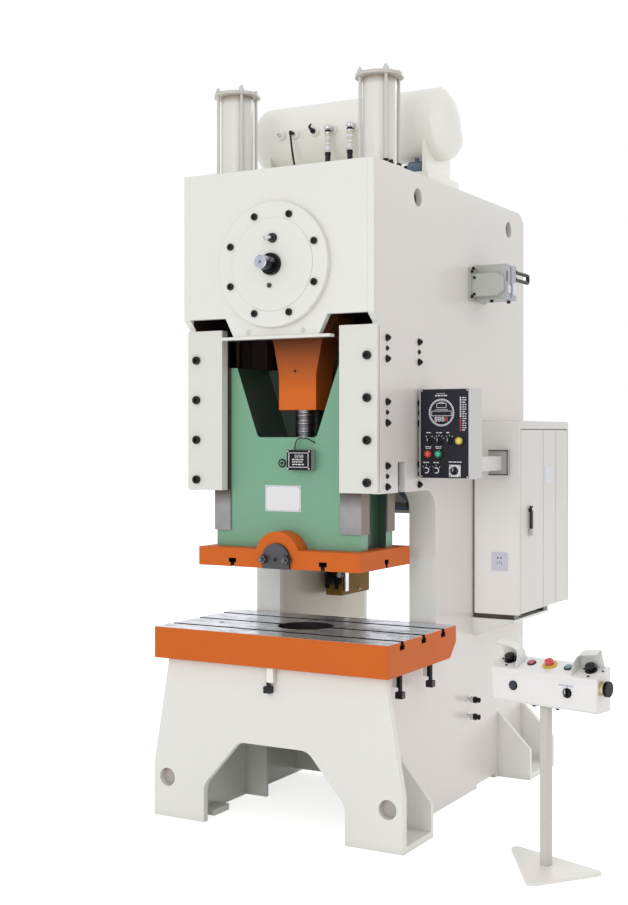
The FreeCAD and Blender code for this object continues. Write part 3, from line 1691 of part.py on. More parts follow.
def palm_shield(side):
    # a hood of folded sheet: an inner wall rounded into a rising roof, a back wall and a raked front
    near, far = s.shield_inner * side, (s.shield_inner + s.shield_width) * side
    back = s.shield_depth / 2 - 2
    front, crest = back - s.shield_depth, s.shield_height + s.shield_rise
    outer = plate("Y", (front, back), [
        (near, 0.2),
        (far, 0.2),
        (far, crest),
        (near, s.shield_height, s.shield_radius),
    ])
    inner = plate("Y", (front - 1, back - 3), [
        (near + 3 * side, -1),
        (far + side, -1),
        (far + side, crest - 3),
        (near + 3 * side, s.shield_height - 3, s.shield_radius - 3),
    ])
    rake = plate("X", ((s.shield_inner - 2) * side, (s.shield_inner + s.shield_width + 2) * side), [
        (front, 14),
        (back - s.shield_roof, s.shield_height - 12, 20),
        (back - s.shield_roof, crest + 2),
        (front - 2, crest + 2),
        (front - 2, 14),
    ])
    return on_top(cut(outer, inner, rake))


def console_plug():
    # the connector on the right end, with its cap
    centre, end = (-s.plug_back, s.plug_z), s.console_middle + s.console_half
    return join(rod("X", centre, end, end + 5, s.plug_radius + 2),
                rod("X", centre, end + 5, end + s.plug_length, s.plug_radius - 2),
                rod("X", centre, end + s.plug_length - 14, end + s.plug_length, s.plug_radius + 3))


finish_console("console_stand", console_stand())
finish_console("console_box", console_box())
finish_console("console_plug", console_plug())
finish_console("palm_shields", group([palm_shield(side) for _, side in SIDES]))
for name, sizes in TOP_CONTROLS.items():
    finish_console(name, top_button(*sizes))
finish_console("console_front_button", rod("Y", (s.console_middle - s.front_button_x, s.front_control_z),
                                           front_face - 7, front_face + FRONT_SOCKET - s.button_travel - 1,
                                           s.front_radius))
finish_console("console_front_selector", selector(s.console_middle + s.front_selector_x, s.front_control_z,
                                                  front_face, s.front_radius))


# checks and export

doc.recompute()
for item in doc.Objects:
    if {"Invalid", "Error"} & set(item.State):
        raise RuntimeError(f"{item.Label} ({item.Name}) failed: {item.State}")
os.makedirs("parts", exist_ok=True)
for node in nodes:
    if node.Shape.isNull() or not node.Shape.isValid():
        raise RuntimeError(f"{node.Label} has no valid shape")
    node.Shape.exportStep(f"parts/{node.Label}.step")
print(len(nodes), "sub-parts,", sum(len(node.Shape.Solids) for node in nodes), "solids")
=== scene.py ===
import json
import math
import bpy
import bmesh
import numpy as np
from mathutils import Matrix, Vector


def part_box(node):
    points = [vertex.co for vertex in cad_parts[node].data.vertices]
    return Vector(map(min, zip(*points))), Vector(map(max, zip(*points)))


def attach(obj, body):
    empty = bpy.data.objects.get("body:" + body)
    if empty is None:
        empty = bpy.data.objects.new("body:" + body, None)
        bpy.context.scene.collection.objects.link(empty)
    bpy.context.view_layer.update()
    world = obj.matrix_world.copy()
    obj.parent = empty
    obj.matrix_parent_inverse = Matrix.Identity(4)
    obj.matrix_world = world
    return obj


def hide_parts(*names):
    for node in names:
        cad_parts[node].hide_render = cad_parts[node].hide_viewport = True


# A gap-frame stamping press with its two-hand console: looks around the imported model, in metres.

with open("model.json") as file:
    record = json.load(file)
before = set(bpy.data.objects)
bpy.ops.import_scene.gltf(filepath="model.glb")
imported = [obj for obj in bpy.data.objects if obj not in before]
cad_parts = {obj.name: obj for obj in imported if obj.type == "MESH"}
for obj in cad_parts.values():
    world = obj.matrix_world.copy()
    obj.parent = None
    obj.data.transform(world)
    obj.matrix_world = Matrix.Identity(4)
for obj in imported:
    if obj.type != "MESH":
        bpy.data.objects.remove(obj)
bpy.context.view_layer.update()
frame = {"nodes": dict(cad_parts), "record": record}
nodes = frame["nodes"]
slideLine = -0.5675  # the shared frame's y under the slide's centre line
mm = 0.001
print("frame loaded:", len(nodes), "nodes")

# shapes are worked out in millimetres; one of these three takes them to the shared frame
console = {"place": (1170, -150), "turn": 12, "middle": (16, -5, 792), "tilt": 21.80140949}
onPress = Matrix.Translation((0, slideLine, 0)) @ Matrix.Scale(mm, 4)
onConsole = (onPress @ Matrix.Translation((*console["place"], 0))
             @ Matrix.Rotation(-math.radians(console["turn"]), 4, "Z"))
onTop = (onConsole @ Matrix.Translation(console["middle"])
         @ Matrix.Rotation(math.radians(console["tilt"]), 4, "X"))

# measures that several pieces share: the side plates' inner and outer faces, and the crank's centre
innerFace, outerFace, crankLevel = 441, 471, 2422


def at(x, y, z):
    return onPress @ Vector((x, y, z))


# the camera of the photograph, and a soft studio

studio = {
    "eye": at(2985, -5223, 1696),
    "heading": (-0.4909, 0.8712, 0.0),
    "sensor": 36,
    "rows": 905,  # the photograph's height in pixels, in which focal and rise are counted
    "focal": 1356,
    "rise": -17.5,
    "clip": (0.1, 100),
    "floor": 0.84,
    "floorLift": 0.74,
    "floorHalf": 30.0,
    "floorLevel": -0.0005,
    "skyLight": 0.78,
    "target": (0, -0.3, 1.5),
    "key": {"at": (0.7, -7.6, 2.9), "size": 2.8, "power": 98, "tint": (1.0, 0.995, 0.985)},
    "fill": {"at": (5.6, -3.2, 2.4), "size": 3.4, "power": 10, "tint": (1.0, 0.92, 0.89)},
    "rim": {"at": (0.6, 3.8, 4.8), "size": 2.6, "power": 60, "tint": (1.0, 1.0, 1.0)},
}


def addObject(name, data):
    made = bpy.data.objects.new(name, data)
    bpy.context.scene.collection.objects.link(made)
    return made


def makeCamera():
    data = bpy.data.cameras.new("studioCamera")
    data.sensor_width = studio["sensor"]
    data.lens = studio["focal"] * studio["sensor"] / studio["rows"]
    data.shift_y = studio["rise"] / studio["rows"]
    data.clip_start, data.clip_end = studio["clip"]
    camera = addObject("studioCamera", data)
    camera.location = studio["eye"]
    camera.rotation_euler = Vector(studio["heading"]).to_track_quat("-Z", "Y").to_euler()
    bpy.context.scene.camera = camera


def makeLamp(name, settings):
    data = bpy.data.lights.new(name, "AREA")
    data.size, data.energy, data.color = settings["size"], settings["power"], settings["tint"]
    lamp = addObject(name, data)
    lamp.location = settings["at"]
    lamp.rotation_euler = (Vector(studio["target"]) - lamp.location).to_track_quat("-Z", "Y").to_euler()


makeCamera()
for lampName in ("key", "fill", "rim"):
    makeLamp(lampName + "Lamp", studio[lampName])
bpy.context.scene.view_settings.view_transform = "Standard"
print("camera and lamps placed")


def operator(name):  # a method that adds the Math node of this name
    return lambda wire, *others: wire.maths(name, wire, *others)


class Wire:  # one socket in a finish: the arithmetic signs add the finish's Math nodes
    def __init__(self, finish, socket):
        self.finish, self.socket = finish, socket

    def maths(self, operation, *values):
        return self.finish.node("ShaderNodeMath", {"operation": operation}, dict(enumerate(values)))

    __add__ = __radd__ = operator("ADD")
    __mul__ = __rmul__ = operator("MULTIPLY")
    __sub__ = operator("SUBTRACT")
    __gt__ = operator("GREATER_THAN")
    __lt__ = operator("LESS_THAN")
    __abs__ = operator("ABSOLUTE")
    either = operator("MAXIMUM")

    def __rsub__(self, other):
        return self.maths("SUBTRACT", other, self)

    def within(self, low, high):
        return (self > low) * (self < high)

    def rising(self, low, high):  # 0 below low, 1 above high, and straight between
        return self.maths("MINIMUM", ((self - low) * (1 / (high - low))).either(0.0), 1.0)


class Finish:  # the nodes of a material or of the sky: every one comes from node()
    def __init__(self, owner):
        owner.use_nodes = True
        self.owner, self.tree = owner, owner.node_tree
        self.tree.nodes.clear()

    def node(self, kind, settings=None, links=None, out=0):
        made = self.tree.nodes.new(kind)
        for key, value in (settings or {}).items():
            if key == "stops":
                ramp = made.color_ramp.elements
                while len(ramp) < len(value):
                    ramp.new(0.5)
                for stop, (place, tint) in zip(ramp, value):
                    stop.position, stop.color = place, tint
            else:
                setattr(made, key, value)
        for key, value in (links or {}).items():
            if isinstance(value, Wire):
                self.tree.links.new(value.socket, made.inputs[key])
            else:
                made.inputs[key].default_value = value
        return Wire(self, made.outputs[out]) if made.outputs else None

    def mix(self, share, first, second):
        return self.node("ShaderNodeMix", {"data_type": "RGBA"}, {0: share, 6: first, 7: second}, 2)

    def place(self):  # object coordinates, kept also as x, y and z in the press's millimetres
        where = self.node("ShaderNodeTexCoord", out="Object")
        x, y, z = [self.node("ShaderNodeSeparateXYZ", links={0: where}, out=k) for k in range(3)]
        self.spot = x * 1000, (y - slideLine) * 1000, z * 1000
        return where

    def patched(self, tone, patch):  # another tint wherever its mask of x, y and z is 1
        for mask, tint in patch:
            tone = self.mix(mask(*self.spot), tone, colour(*tint))
        return tone

    def noise(self, where, scale, detail=3.0, rough=0.55, stretch=None):
        if stretch:
            where = self.node("ShaderNodeMapping", links={"Vector": where, "Scale": stretch})
        return self.node("ShaderNodeTexNoise", links={
            "Vector": where, "Scale": scale, "Detail": detail, "Roughness": rough})

    def ramp(self, value, *stops):
        return self.node("ShaderNodeValToRGB", {"stops": [(p, (v, v, v, 1)) for p, v in stops]}, {0: value})

    def bump(self, height, strength, depth, edge):
        rounded = self.node("ShaderNodeBevel", {"samples": 4}, {"Radius": edge})
        return self.node("ShaderNodeBump", links={
            "Height": height, "Strength": strength, "Distance": depth, "Normal": rounded})

    def surface(self, **sockets):
        links = {name.replace("_", " "): value for name, value in sockets.items()}
        shader = self.node("ShaderNodeBsdfPrincipled", links=links)
        self.node("ShaderNodeOutputMaterial", links={"Surface": shader})
        return self.owner

    def seenDirectly(self):  # 1 for the camera and for what mirrors or passes its view, 0 for the lighting
        rays = [self.node("ShaderNodeLightPath", out=kind)
                for kind in ("Is Camera Ray", "Is Glossy Ray", "Is Transmission Ray")]
        return rays[0].either(rays[1]).either(rays[2])


def colour(red, green, blue):  # screen values of 0 to 255 to the shader's linear light
    def linear(v):
        v /= 255
        return v / 12.92 if v <= 0.04045 else ((v + 0.055) / 1.055) ** 2.4
    return (linear(red), linear(green), linear(blue), 1)


def darker(tint, share):
    return tuple(c * share for c in tint[:3]) + (1,)


def paint(name, tint, rough=0.34, grain=90.0, peel=0.00006, cornerShade=0.10, coat=0.25, shine=0.5, patch=(),
          bare=None):
    # sprayed enamel: orange peel, faint cloudiness, and painted shade that darkens the corners and creases;
    # bare lays ground metal where its mask is 1
    f = Finish(bpy.data.materials.new(name))
    where, tint = f.place(), colour(*tint)
    cloud = f.ramp(f.noise(where, 3.1, 4.0), (0.3, 0.0), (0.75, 1.0))
    corner = f.node("ShaderNodeAmbientOcclusion", {"samples": 6}, {"Distance": 0.06}, "AO")
    # painted shade: the occlusion darkens the tint in corners and under parts
    paintedCornerShade = f.ramp(corner, (0.35, 1.0), (0.8, 0.0))
    tone = f.mix(cloud * 0.5, tint, darker(tint, 0.965))
    tone = f.mix(paintedCornerShade * cornerShade * 3, tone, darker(tint, 0.45))
    skinRough, metal = cloud * 0.06 + rough, 0.0
    height = f.noise(where, grain, 2.0)
    tone = f.patched(tone, patch)
    if bare:
        mask, metalTint = bare[0], colour(*bare[1])
        metal = mask(*f.spot)
        lines = f.noise(where, 14.0, 6.0, 0.7, (2.0, 60.0, 60.0))
        oil = f.ramp(f.noise(where, 11.0, 7.0, 0.72, (1.0, 2.2, 1.0)), (0.47, 0.0), (0.62, 1.0))
        ground = f.mix(lines, metalTint, darker(metalTint, 0.86))
        tone = f.mix(metal, tone, f.mix(oil * 0.62, ground, darker(metalTint, 0.3)))
        skinRough = skinRough * (1 - metal) + (lines * 0.2 + oil * 0.12 + 0.12) * metal
    skin = f.bump(height, 0.35, peel * 10, 0.0035)
    return f.surface(Base_Color=tone, Roughness=skinRough, Metallic=metal, Normal=skin, Coat_Weight=coat,
                     Coat_Roughness=0.15, Specular_IOR_Level=shine)


def steel(name, tint, rough=0.32, scratch=(2.0, 60.0, 60.0), metal=1.0, edge=0.0015, patch=()):
    # ground metal: fine lines drawn out along one axis over slow stains
    f = Finish(bpy.data.materials.new(name))
    where, tint = f.place(), colour(*tint)
    lines = f.noise(where, 14.0, 6.0, 0.7, scratch)
    stain = f.ramp(f.noise(where, 9.0, 5.0), (0.35, 0.0), (0.7, 1.0))
    tone = f.patched(f.mix(stain * 0.6, tint, darker(tint, 0.72)), patch)
    return f.surface(Base_Color=tone, Metallic=metal, Normal=f.bump(lines, 0.25, 0.0004, edge),
                     Roughness=lines * 0.22 + stain * 0.08 + (rough - 0.12))


def plastic(name, tint, rough=0.3, grain=240.0, patch=()):
    f = Finish(bpy.data.materials.new(name))
    where, tint = f.place(), colour(*tint)
    wear = f.noise(where, 30.0, 4.0)
    tone = f.patched(f.mix(wear * 0.4, tint, darker(tint, 0.8)), patch)
    return f.surface(Base_Color=tone, Roughness=wear * 0.15 + (rough - 0.05), Specular_IOR_Level=0.35,
                     Normal=f.bump(f.noise(where, grain, 2.0), 0.3, 0.0001, 0.001))


# painted shade: the dark colour laid on the inside of the head and on the gib boxes' inner faces
shade = (58, 42, 40)  # the dark inside of the head


def insideHead(x, y, z):  # between the side plates, from the slide's top to the head's roof
    return (abs(x) < innerFace + 0.5) * y.within(-232, 1421) * z.within(1582, 2808.5)


def insideSlots(x, y, z):  # the bolster's T-slots, bore and pin hole, under its top
    bore = (x * x + y * y < 125.6 ** 2).either((x + 389) * (x + 389) + (y + 83) * (y + 83) < 13.6 ** 2)
    slots = None
    for centre in (-210, 0, 200):
        offset = abs(y - centre)
        slot = (offset < 23.6) * (z < 835.6) + (offset < 14.6) * (z > 835)
        slots = slot if slots is None else slots.either(slot)
    return (slots * z.within(815, 849.7) * (abs(x) < 574.6)).either(bore * (z < 849.7))


def plateSlots(x, y, z):  # the T-slots under the slide plate, two front to back and two out to the sides
    along = (abs(abs(x) - 225) < 19.6) * y.within(-249.6, 229.6)
    return along.either((abs(y) < 19.5) * abs(x).within(225, 399.7)) * z.within(1124.3, 1161.6)


def inThroat(x, y, z):  # the warm shade on the plates seen between bolster and slide
    return (abs(x) < innerFace + 0.5) * y.within(379, 1421) * z.within(700, 1440)


def onCap(x, y, z):  # the plug's cap: millimetres along the console's box, past its barrel
    turn = math.radians(console["turn"])
    return (x - console["place"][0]) * math.cos(turn) - (y - console["place"][1]) * math.sin(turn) > 275.5


def onTies(x, y, z):  # the tie rods and nuts outside the counterbalance tubes
    reach = (abs(x) - 363) * (abs(x) - 363) + (y - 5) * (y - 5)
    return z.within(2855.5, 3232.5) * (reach > 75.5 ** 2)


def lens(x, z):  # the lighter middle of a lit push button
    return lambda px, y, pz: ((px - x) * (px - x) + (pz - z) * (pz - z)).rising(8.5 ** 2, 10 ** 2) * -1 + 1


finishes = {  # for the record's material slots
    "frame_white": paint("frameEnamel", (234, 234, 228), patch=[
        # painted shade inside the head
        (insideHead, shade),
        (lambda x, y, z: y.within(-330, -293.6) * z.within(2250, 2600), (26, 26, 28)),
        (lambda x, y, z: z.within(828.2, 849.8) * (x > 481) * (y > 760), (60, 50, 44)),
        # painted shade: the plates in the throat darker and warmer
        (inThroat, (220, 210, 194)),
        # painted shade: the side plates' outer faces darker and warmer than the front
        (lambda x, y, z: abs(x).within(outerFace - 0.5, outerFace + 0.5), (227, 222, 218)),
    ]),
    "slide_green": paint("slideEnamel", (116, 168, 138), cornerShade=0.16, patch=[
        # painted shade: the slide's window inner faces and its side faces between the strips darker
        (lambda x, y, z: y.within(-164.6, 100.6) * (abs(x) < 300) * (z > 1685), (50, 66, 56)),
        (lambda x, y, z: y.within(-98.5, 74.5) * abs(x).within(318, 361), (50, 78, 64)),
    ]),
    "plate_orange": paint("orangeEnamel", (211, 102, 32), rough=0.5, coat=0.0, shine=0.22, cornerShade=0.14, patch=[
        (insideSlots, (34, 32, 32)),
        (plateSlots, (30, 24, 20)),
        (lambda x, y, z: z.within(1123.8, 1124.4), (120, 116, 110)),
    ], bare=(lambda x, y, z: z.within(849.6, 850.4) * (1 - insideSlots(x, y, z)), (232, 236, 246))),
    "bare_steel": steel("groundSteel", (176, 176, 178)),
    "dark_steel": steel("oiledSteel", (84, 84, 88), 0.42),
    "black_screws": steel("blackOxide", (30, 30, 32), 0.38, metal=0.6),
    "tank_cream": paint("tankEnamel", (244, 243, 235)),
    "valve_grey": paint("castGrey", (186, 188, 184), 0.36, 160.0, 0.0001, patch=[
        (lambda x, y, z: (y > 780.4) * (x > 485.4), (170, 172, 183)),
    ]),
    "cabinet_grey": paint("cabinetPowder", (225, 222, 218), 0.45, 220.0, 0.00008, patch=[
        # painted light: the cabinet's front face lighter, where the frame keeps the key lamp off it
        (lambda x, y, z: y.within(777, 778.6), (240, 238, 236)),
    ]),
    "panel_dark": plastic("panelFilm", (40, 40, 54), 0.35),
    "hose_black": plastic("hoseRubber", (30, 30, 32), 0.5),
    "ochre": paint("ochreEnamel", (150, 116, 58), rough=0.55, coat=0.0, shine=0.15, cornerShade=0.2, patch=[
        # painted shade: the air unit's front face darker above z 925
        (lambda x, y, z: (y < 931) * z.within(925, 1001), (66, 50, 34)),
    ]),
    "knob_black": plastic("knobPlastic", (22, 22, 24), 0.25),
    "button_red": plastic("buttonRed", (214, 52, 44), 0.25),
    "button_green": plastic("buttonGreen", (40, 152, 124), 0.25),
    "button_yellow": plastic("buttonYellow", (222, 198, 70), 0.25),
    "chrome": steel("polishedChrome", (218, 218, 220), 0.2),
    "brass": steel("plugBrass", (196, 176, 120), 0.35),
    "console_white": paint("consolePowder", (236, 235, 231), 0.4, 200.0),
    "motor_blue": paint("motorEnamel", (104, 124, 152), cornerShade=0.2),
}

panelButtons = {  # the lenses: x and z, colour, and the lighter middle
    "Red": {"at": (534, 1614), "tint": (172, 56, 46), "middle": (224, 96, 80)},
    "Green": {"at": (582, 1614), "tint": (34, 120, 96), "middle": (84, 186, 154)},
    "Yellow": {"at": (679, 1671), "tint": (196, 178, 66), "middle": (238, 226, 120)},
}
guideEnamel = paint("guideEnamel", (225, 225, 219), patch=[
    # painted shade on the gib boxes' inner faces, between the side plates
    (lambda x, y, z: (abs(x) < innerFace + 0.5) * (y > -186), shade),
])
keyBlack = plastic("keyBlack", (34, 34, 40), 0.3)
ownFinishes = {  # for the nodes that differ from their slot
    "gib_box_left": guideEnamel,
    "gib_box_right": guideEnamel,
    "connecting_rod": paint("rodEnamel", (230, 113, 34), rough=0.45, coat=0.0, shine=0.25, cornerShade=0.12, patch=[
        # painted shadow: the rod darker and browner towards its top, where the head shades it; a dark disc as
        # painted shade for a small hole
        (lambda x, y, z: z.rising(1880, 2140) * 0.9, (88, 54, 32)),
        (lambda x, y, z: (y < -72) * ((x + 12) * (x + 12) + (z - 1977) * (z - 1977) < 7 ** 2), (50, 32, 20)),
    ]),
    "crankshaft": steel("noseSteel", (186, 188, 202), 0.26, patch=[
        # painted shade: the nose's side dark on its lower half; the black hub is its own colour
        (lambda x, y, z: y.within(-384.5, -291) * (1 - z.rising(crankLevel + 4, crankLevel + 18))
         * (x * x + (z - crankLevel) * (z - crankLevel)).rising(26 ** 2, 29 ** 2), (40, 40, 52)),
        (lambda x, y, z: y.within(-308.5, -291), (22, 22, 26)),
    ]),
    "slide_strips": steel("stripSteel", (150, 148, 150), 0.42, (60.0, 60.0, 2.0), metal=0.7, patch=[
        (lambda x, y, z: z.rising(1385, 1450), (84, 74, 66)),
        (lambda x, y, z: abs(x).rising(366.5, 367.5) * 0.8, (132, 118, 104)),
    ]),
    "counterbalance_rods": steel("rodSteel", (60, 48, 44), 0.5),
    "counterbalance_cylinders": paint("cylinderEnamel", (227, 225, 221), patch=[
        # painted shade: the tubes darker just under the caps
        (lambda x, y, z: z.rising(3196, 3230) * (z < 3233.5), (150, 134, 116)),
        (onTies, (206, 205, 200)),
        (lambda x, y, z: z > 3232.6, (202, 199, 190)),
    ]),
    "height_indicator": paint("meterCase", (146, 160, 148), 0.5, coat=0.0, shine=0.2, patch=[
        (lambda x, y, z: y < -204, (16, 14, 20)),
    ]),
    "bolster_clamps": steel("clampBlack", (34, 34, 36), 0.4, metal=0.5, patch=[
        (lambda x, y, z: (z > 646.6) * ((x > -0.5) * (abs(x) < 80)).either(abs(x) < 519), (226, 226, 218)),
    ]),
    "control_panel": paint("panelCase", (214, 213, 211), 0.4, 200.0, coat=0.0, shine=0.25, patch=[
        (lambda x, y, z: (y < 140.6) * z.within(1510, 1894) * x.within(494, 720), (20, 21, 32)),
        (lambda x, y, z: (y < 139.6) * (z < 1600), (228, 228, 230)),
    ]),
    "control_arm": paint("armEnamel", (222, 220, 216), 0.42, 200.0, patch=[
        (lambda x, y, z: (y > 747.6) * (z > 1506), (180, 180, 177)),
    ]),
    "door_handle": plastic("handleBlack", (30, 28, 28), 0.3, patch=[
        (lambda x, y, z: z < 1250, (190, 190, 188)),
    ]),
    "panel_key_left": keyBlack,
    "panel_key_right": keyBlack,
    "console_box": paint("consoleCase", (240, 239, 238), 0.4, 200.0),
    "console_plug": steel("plugMetal", (206, 192, 158), 0.3, patch=[(onCap, (30, 30, 32))]),
    "console_stand": paint("standPowder", (204, 201, 195), 0.4, 200.0, patch=[
        # painted light: the stand's foot plate lighter than the post
        (lambda x, y, z: z < 12.5, (238, 236, 229)),
    ]),
    "console_stop": plastic("stopPink", (220, 84, 92), 0.25),
    "console_button_red": plastic("smallPink", (196, 108, 128), 0.3),
    "console_button_green": plastic("smallTeal", (112, 158, 160), 0.3),
    "console_front_button": plastic("smallNavy", (44, 48, 66), 0.25),
}
for name, button in panelButtons.items():
    ownFinishes["panel_button_" + name.lower()] = plastic(
        "lit" + name, button["tint"], 0.25, patch=[(lens(*button["at"]), button["middle"])])

looks = {slot: (slot, finish) for slot, finish in finishes.items()}  # what a piece is made of, and its slot
for row in frame["record"]["subparts"]:
    node, slot = nodes[row["node"]], row["material_slot"]
    finish = ownFinishes.get(row["node"], finishes[slot])
    looks[row["node"]] = (slot, finish)
    for k in range(max(1, len(node.material_slots))):
        if node.material_slots:
            node.material_slots[k].material = finish
        else:
            node.data.materials.append(finish)

trims = {  # for small pieces that no slot suits: slot, kind and its values
    "whitePrint": ("console_white", plastic, (232, 234, 240), 0.4),
    "labelWhite": ("console_white", plastic, (238, 238, 240), 0.35),
    "silverInk": ("chrome", plastic, (196, 198, 206), 0.4),
    "blueInk": ("motor_blue", plastic, (172, 182, 222), 0.4),
    "digitRed": ("button_red", plastic, (204, 84, 88), 0.4),
    "stopYellow": ("button_yellow", plastic, (214, 184, 86), 0.3),
    "screenGlass": ("panel_dark", plastic, (28, 30, 44), 0.12),
    "socketPlastic": ("cabinet_grey", plastic, (214, 215, 228), 0.35),
    "padRubber": ("black_screws", plastic, (58, 46, 40), 0.7, 120.0),
    "nutSteel": ("bare_steel", steel, (112, 112, 116), 0.3),
    "washerSteel": ("bare_steel", steel, (66, 66, 70), 0.4),
    "threadSteel": ("bare_steel", steel, (148, 148, 152), 0.24),
    "cylinderBright": ("chrome", steel, (206, 206, 206), 0.3),
    "shadedEnamel": ("frame_white", paint, (186, 178, 174)),
}
for name, (slot, make, *values) in trims.items():
    looks[name] = (slot, make(name, *values))
print("finishes:", len(finishes) + len(ownFinishes) + len(trims))


# shapes: each gives (points, faces) in millimetres, worked out as whole arrays


def woven(grid, ends=True):
    # rows of points, each row a closed ring: quads between neighbouring rows, and the two ends capped
    rows, count = grid.shape[:2]
    index = np.arange(rows * count).reshape(rows, count)
    closed = np.concatenate([index, index[:, :1]], axis=1)
    quads = np.stack([closed[:-1, :-1], closed[:-1, 1:], closed[1:, 1:], closed[1:, :-1]], axis=-1)
    caps = [index[0][::-1].tolist(), index[-1].tolist()] if ends else []
    return grid.reshape(-1, 3), quads.reshape(-1, 4).tolist() + caps


axes = {"x": ((0, 1, 0), (0, 0, 1), (1, 0, 0)), "y": ((1, 0, 0), (0, 0, -1), (0, 1, 0)),
        "z": ((1, 0, 0), (0, 1, 0), (0, 0, 1)), "-x": ((0, 0, 1), (0, 1, 0), (-1, 0, 0)),
        "-y": ((1, 0, 0), (0, 0, 1), (0, -1, 0)), "-z": ((0, 1, 0), (1, 0, 0), (0, 0, -1))}


def turned(profile, centre, axis="z", steps=36, ends=True):
    # rows of (radius, height) or (radius, height, sides) turned about an axis: at the angle a the point is
    # centre + r(a) cos a * u + r(a) sin a * v + height * w; r(a) follows a polygon where sides are given
    angle = np.linspace(0, 2 * math.pi, steps, endpoint=False)
    u, v, w = (np.array(a, float) for a in axes[axis])
    rows = []
    for radius, height, *sides in profile:
        reach = np.full(steps, float(max(radius, 0.01)))
        if sides:
            wedge = 2 * math.pi / sides[0]
            reach = reach * math.cos(wedge / 2) / np.cos((angle % wedge) - wedge / 2)
        rows.append(np.outer(reach * np.cos(angle), u) + np.outer(reach * np.sin(angle), v) + height * w)
    return woven(np.array(rows) + np.array(centre, float), ends)


def ring(inner, outer, low, high, centre, axis="z", steps=36):  # a flat ring with all four of its faces
    profile = [(inner, low), (outer, low), (outer, high), (inner, high), (inner, low)]
    return turned(profile, centre, axis, steps, False)


def slab(outline, limits, axis="y", inset=0.0):
    # a closed outline carried between two levels of an axis; the outline's axes are the two others in x, y, z
    # order, and inset draws both rims in for a small chamfer
    outline = np.array(outline, float)
    order = {"x": (1, 2, 0), "y": (0, 2, 1), "z": (0, 1, 2)}[axis]
    away = np.sign(outline - outline.mean(axis=0))
    levels = [(limits[0], 0.0), (limits[1], 0.0)]
    if inset:
        levels = [(limits[0], inset), (limits[0] + inset, 0.0), (limits[1] - inset, 0.0), (limits[1], inset)]
    grid = np.zeros((len(levels), len(outline), 3))
    for row, (level, pull) in zip(grid, levels):
        row[:, order[:2]] = outline - away * pull
        row[:, order[2]] = level
    return woven(grid)


def roundedOutline(x, y, radius, steps=5):
    # a rectangle whose corners are quarter circles: corner centre + radius (cos a, sin a)
    quarter = np.linspace(0, math.pi / 2, steps)
    corners = [(x[1] - radius, y[1] - radius, 0), (x[0] + radius, y[1] - radius, 1),
               (x[0] + radius, y[0] + radius, 2), (x[1] - radius, y[0] + radius, 3)]
    return np.concatenate([np.stack([cx + radius * np.cos(quarter + k * math.pi / 2),
                                     cy + radius * np.sin(quarter + k * math.pi / 2)], axis=1)
                           for cx, cy, k in corners])


def block(x, y, z, radius=2.0, inset=0.8, axis="y"):
    limits = {"x": x, "y": y, "z": z}
    flat = [limits[k] for k in "xyz" if k != axis]
    return slab(roundedOutline(*flat, radius), limits[axis], axis, inset)


def pipe(points, radii, steps=14):
    # a circle carried along a smooth path: point + radius (cos a * side + sin a * up)
    points, radii = np.array(points, float), np.array(radii, float)
    along = np.gradient(points, axis=0)
    along /= np.linalg.norm(along, axis=1)[:, None]
    guide = np.eye(3)[np.argmin(np.abs(along).max(axis=0))]
    side = np.cross(along, guide)
    side /= np.linalg.norm(side, axis=1)[:, None]
    up = np.cross(along, side)
    angle = np.linspace(0, 2 * math.pi, steps, endpoint=False)
    return woven(points[:, None] + radii[:, None, None] * (np.cos(angle)[None, :, None] * side[:, None]
                                                           + np.sin(angle)[None, :, None] * up[:, None]))


def loopRing(centre, axis, major, minor, steps, sides=8):
    # a ring: centre + (major + minor cos b)(cos a * u + sin a * v) + minor sin b * w
    u, v, w = (np.array(a, float) for a in axes[axis])
    a = np.linspace(0, 2 * math.pi, steps, endpoint=False)
    b = np.linspace(0, 2 * math.pi, sides, endpoint=False)
    out = np.cos(a)[:, None] * u + np.sin(a)[:, None] * v
    grid = (np.array(centre, float) + (major + minor * np.cos(b))[None, :, None] * out[:, None]
            + (minor * np.sin(b))[None, :, None] * w)
    return woven(np.concatenate([grid, grid[:1]]), False)


def makePiece(name, look, shapes, body="frame", space=onPress, instead=None, crease=32):
    # one mesh from one or several shapes, its doubles merged and its faces turned outwards;
    # look is a slot, a node or a trim, whose finish the mesh takes
    shapes = shapes if isinstance(shapes, list) else [shapes]
    points = np.concatenate([p for p, _ in shapes])
    points = points @ np.array(space.to_3x3()).T + np.array(space.translation)
    starts = np.cumsum([0] + [len(p) for p, _ in shapes[:-1]])
    faces = [[k + int(start) for k in face] for (_, some), start in zip(shapes, starts) for face in some]
    mesh = bpy.data.meshes.new(name)
    mesh.from_pydata(points.tolist(), [], faces)
    tidy = bmesh.new()
    tidy.from_mesh(mesh)
    bmesh.ops.remove_doubles(tidy, verts=tidy.verts, dist=2e-5)
    bmesh.ops.dissolve_degenerate(tidy, edges=tidy.edges, dist=1e-5)
    bmesh.ops.recalc_face_normals(tidy, faces=tidy.faces)
    tidy.to_mesh(mesh)
    tidy.free()
    mesh.shade_smooth()
    mesh.set_sharp_from_angle(angle=math.radians(crease))
    usualSlot, finish = looks[look]
    mesh.materials.append(finish)
    piece = addObject(name, mesh)
    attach(piece, body)
    if instead:
        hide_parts(instead)


# hoses and cables: smooth curves over the routes of the part's source


def airRoute(x, side):  # from a tank elbow down to the top plate, with a slight bow to one side
    return [(x + side * bow, 280 + bow, level)
            for bow, level in ((0, 2839), (1, 2866), (2, 2908), (1, 2950), (0, 2998))]


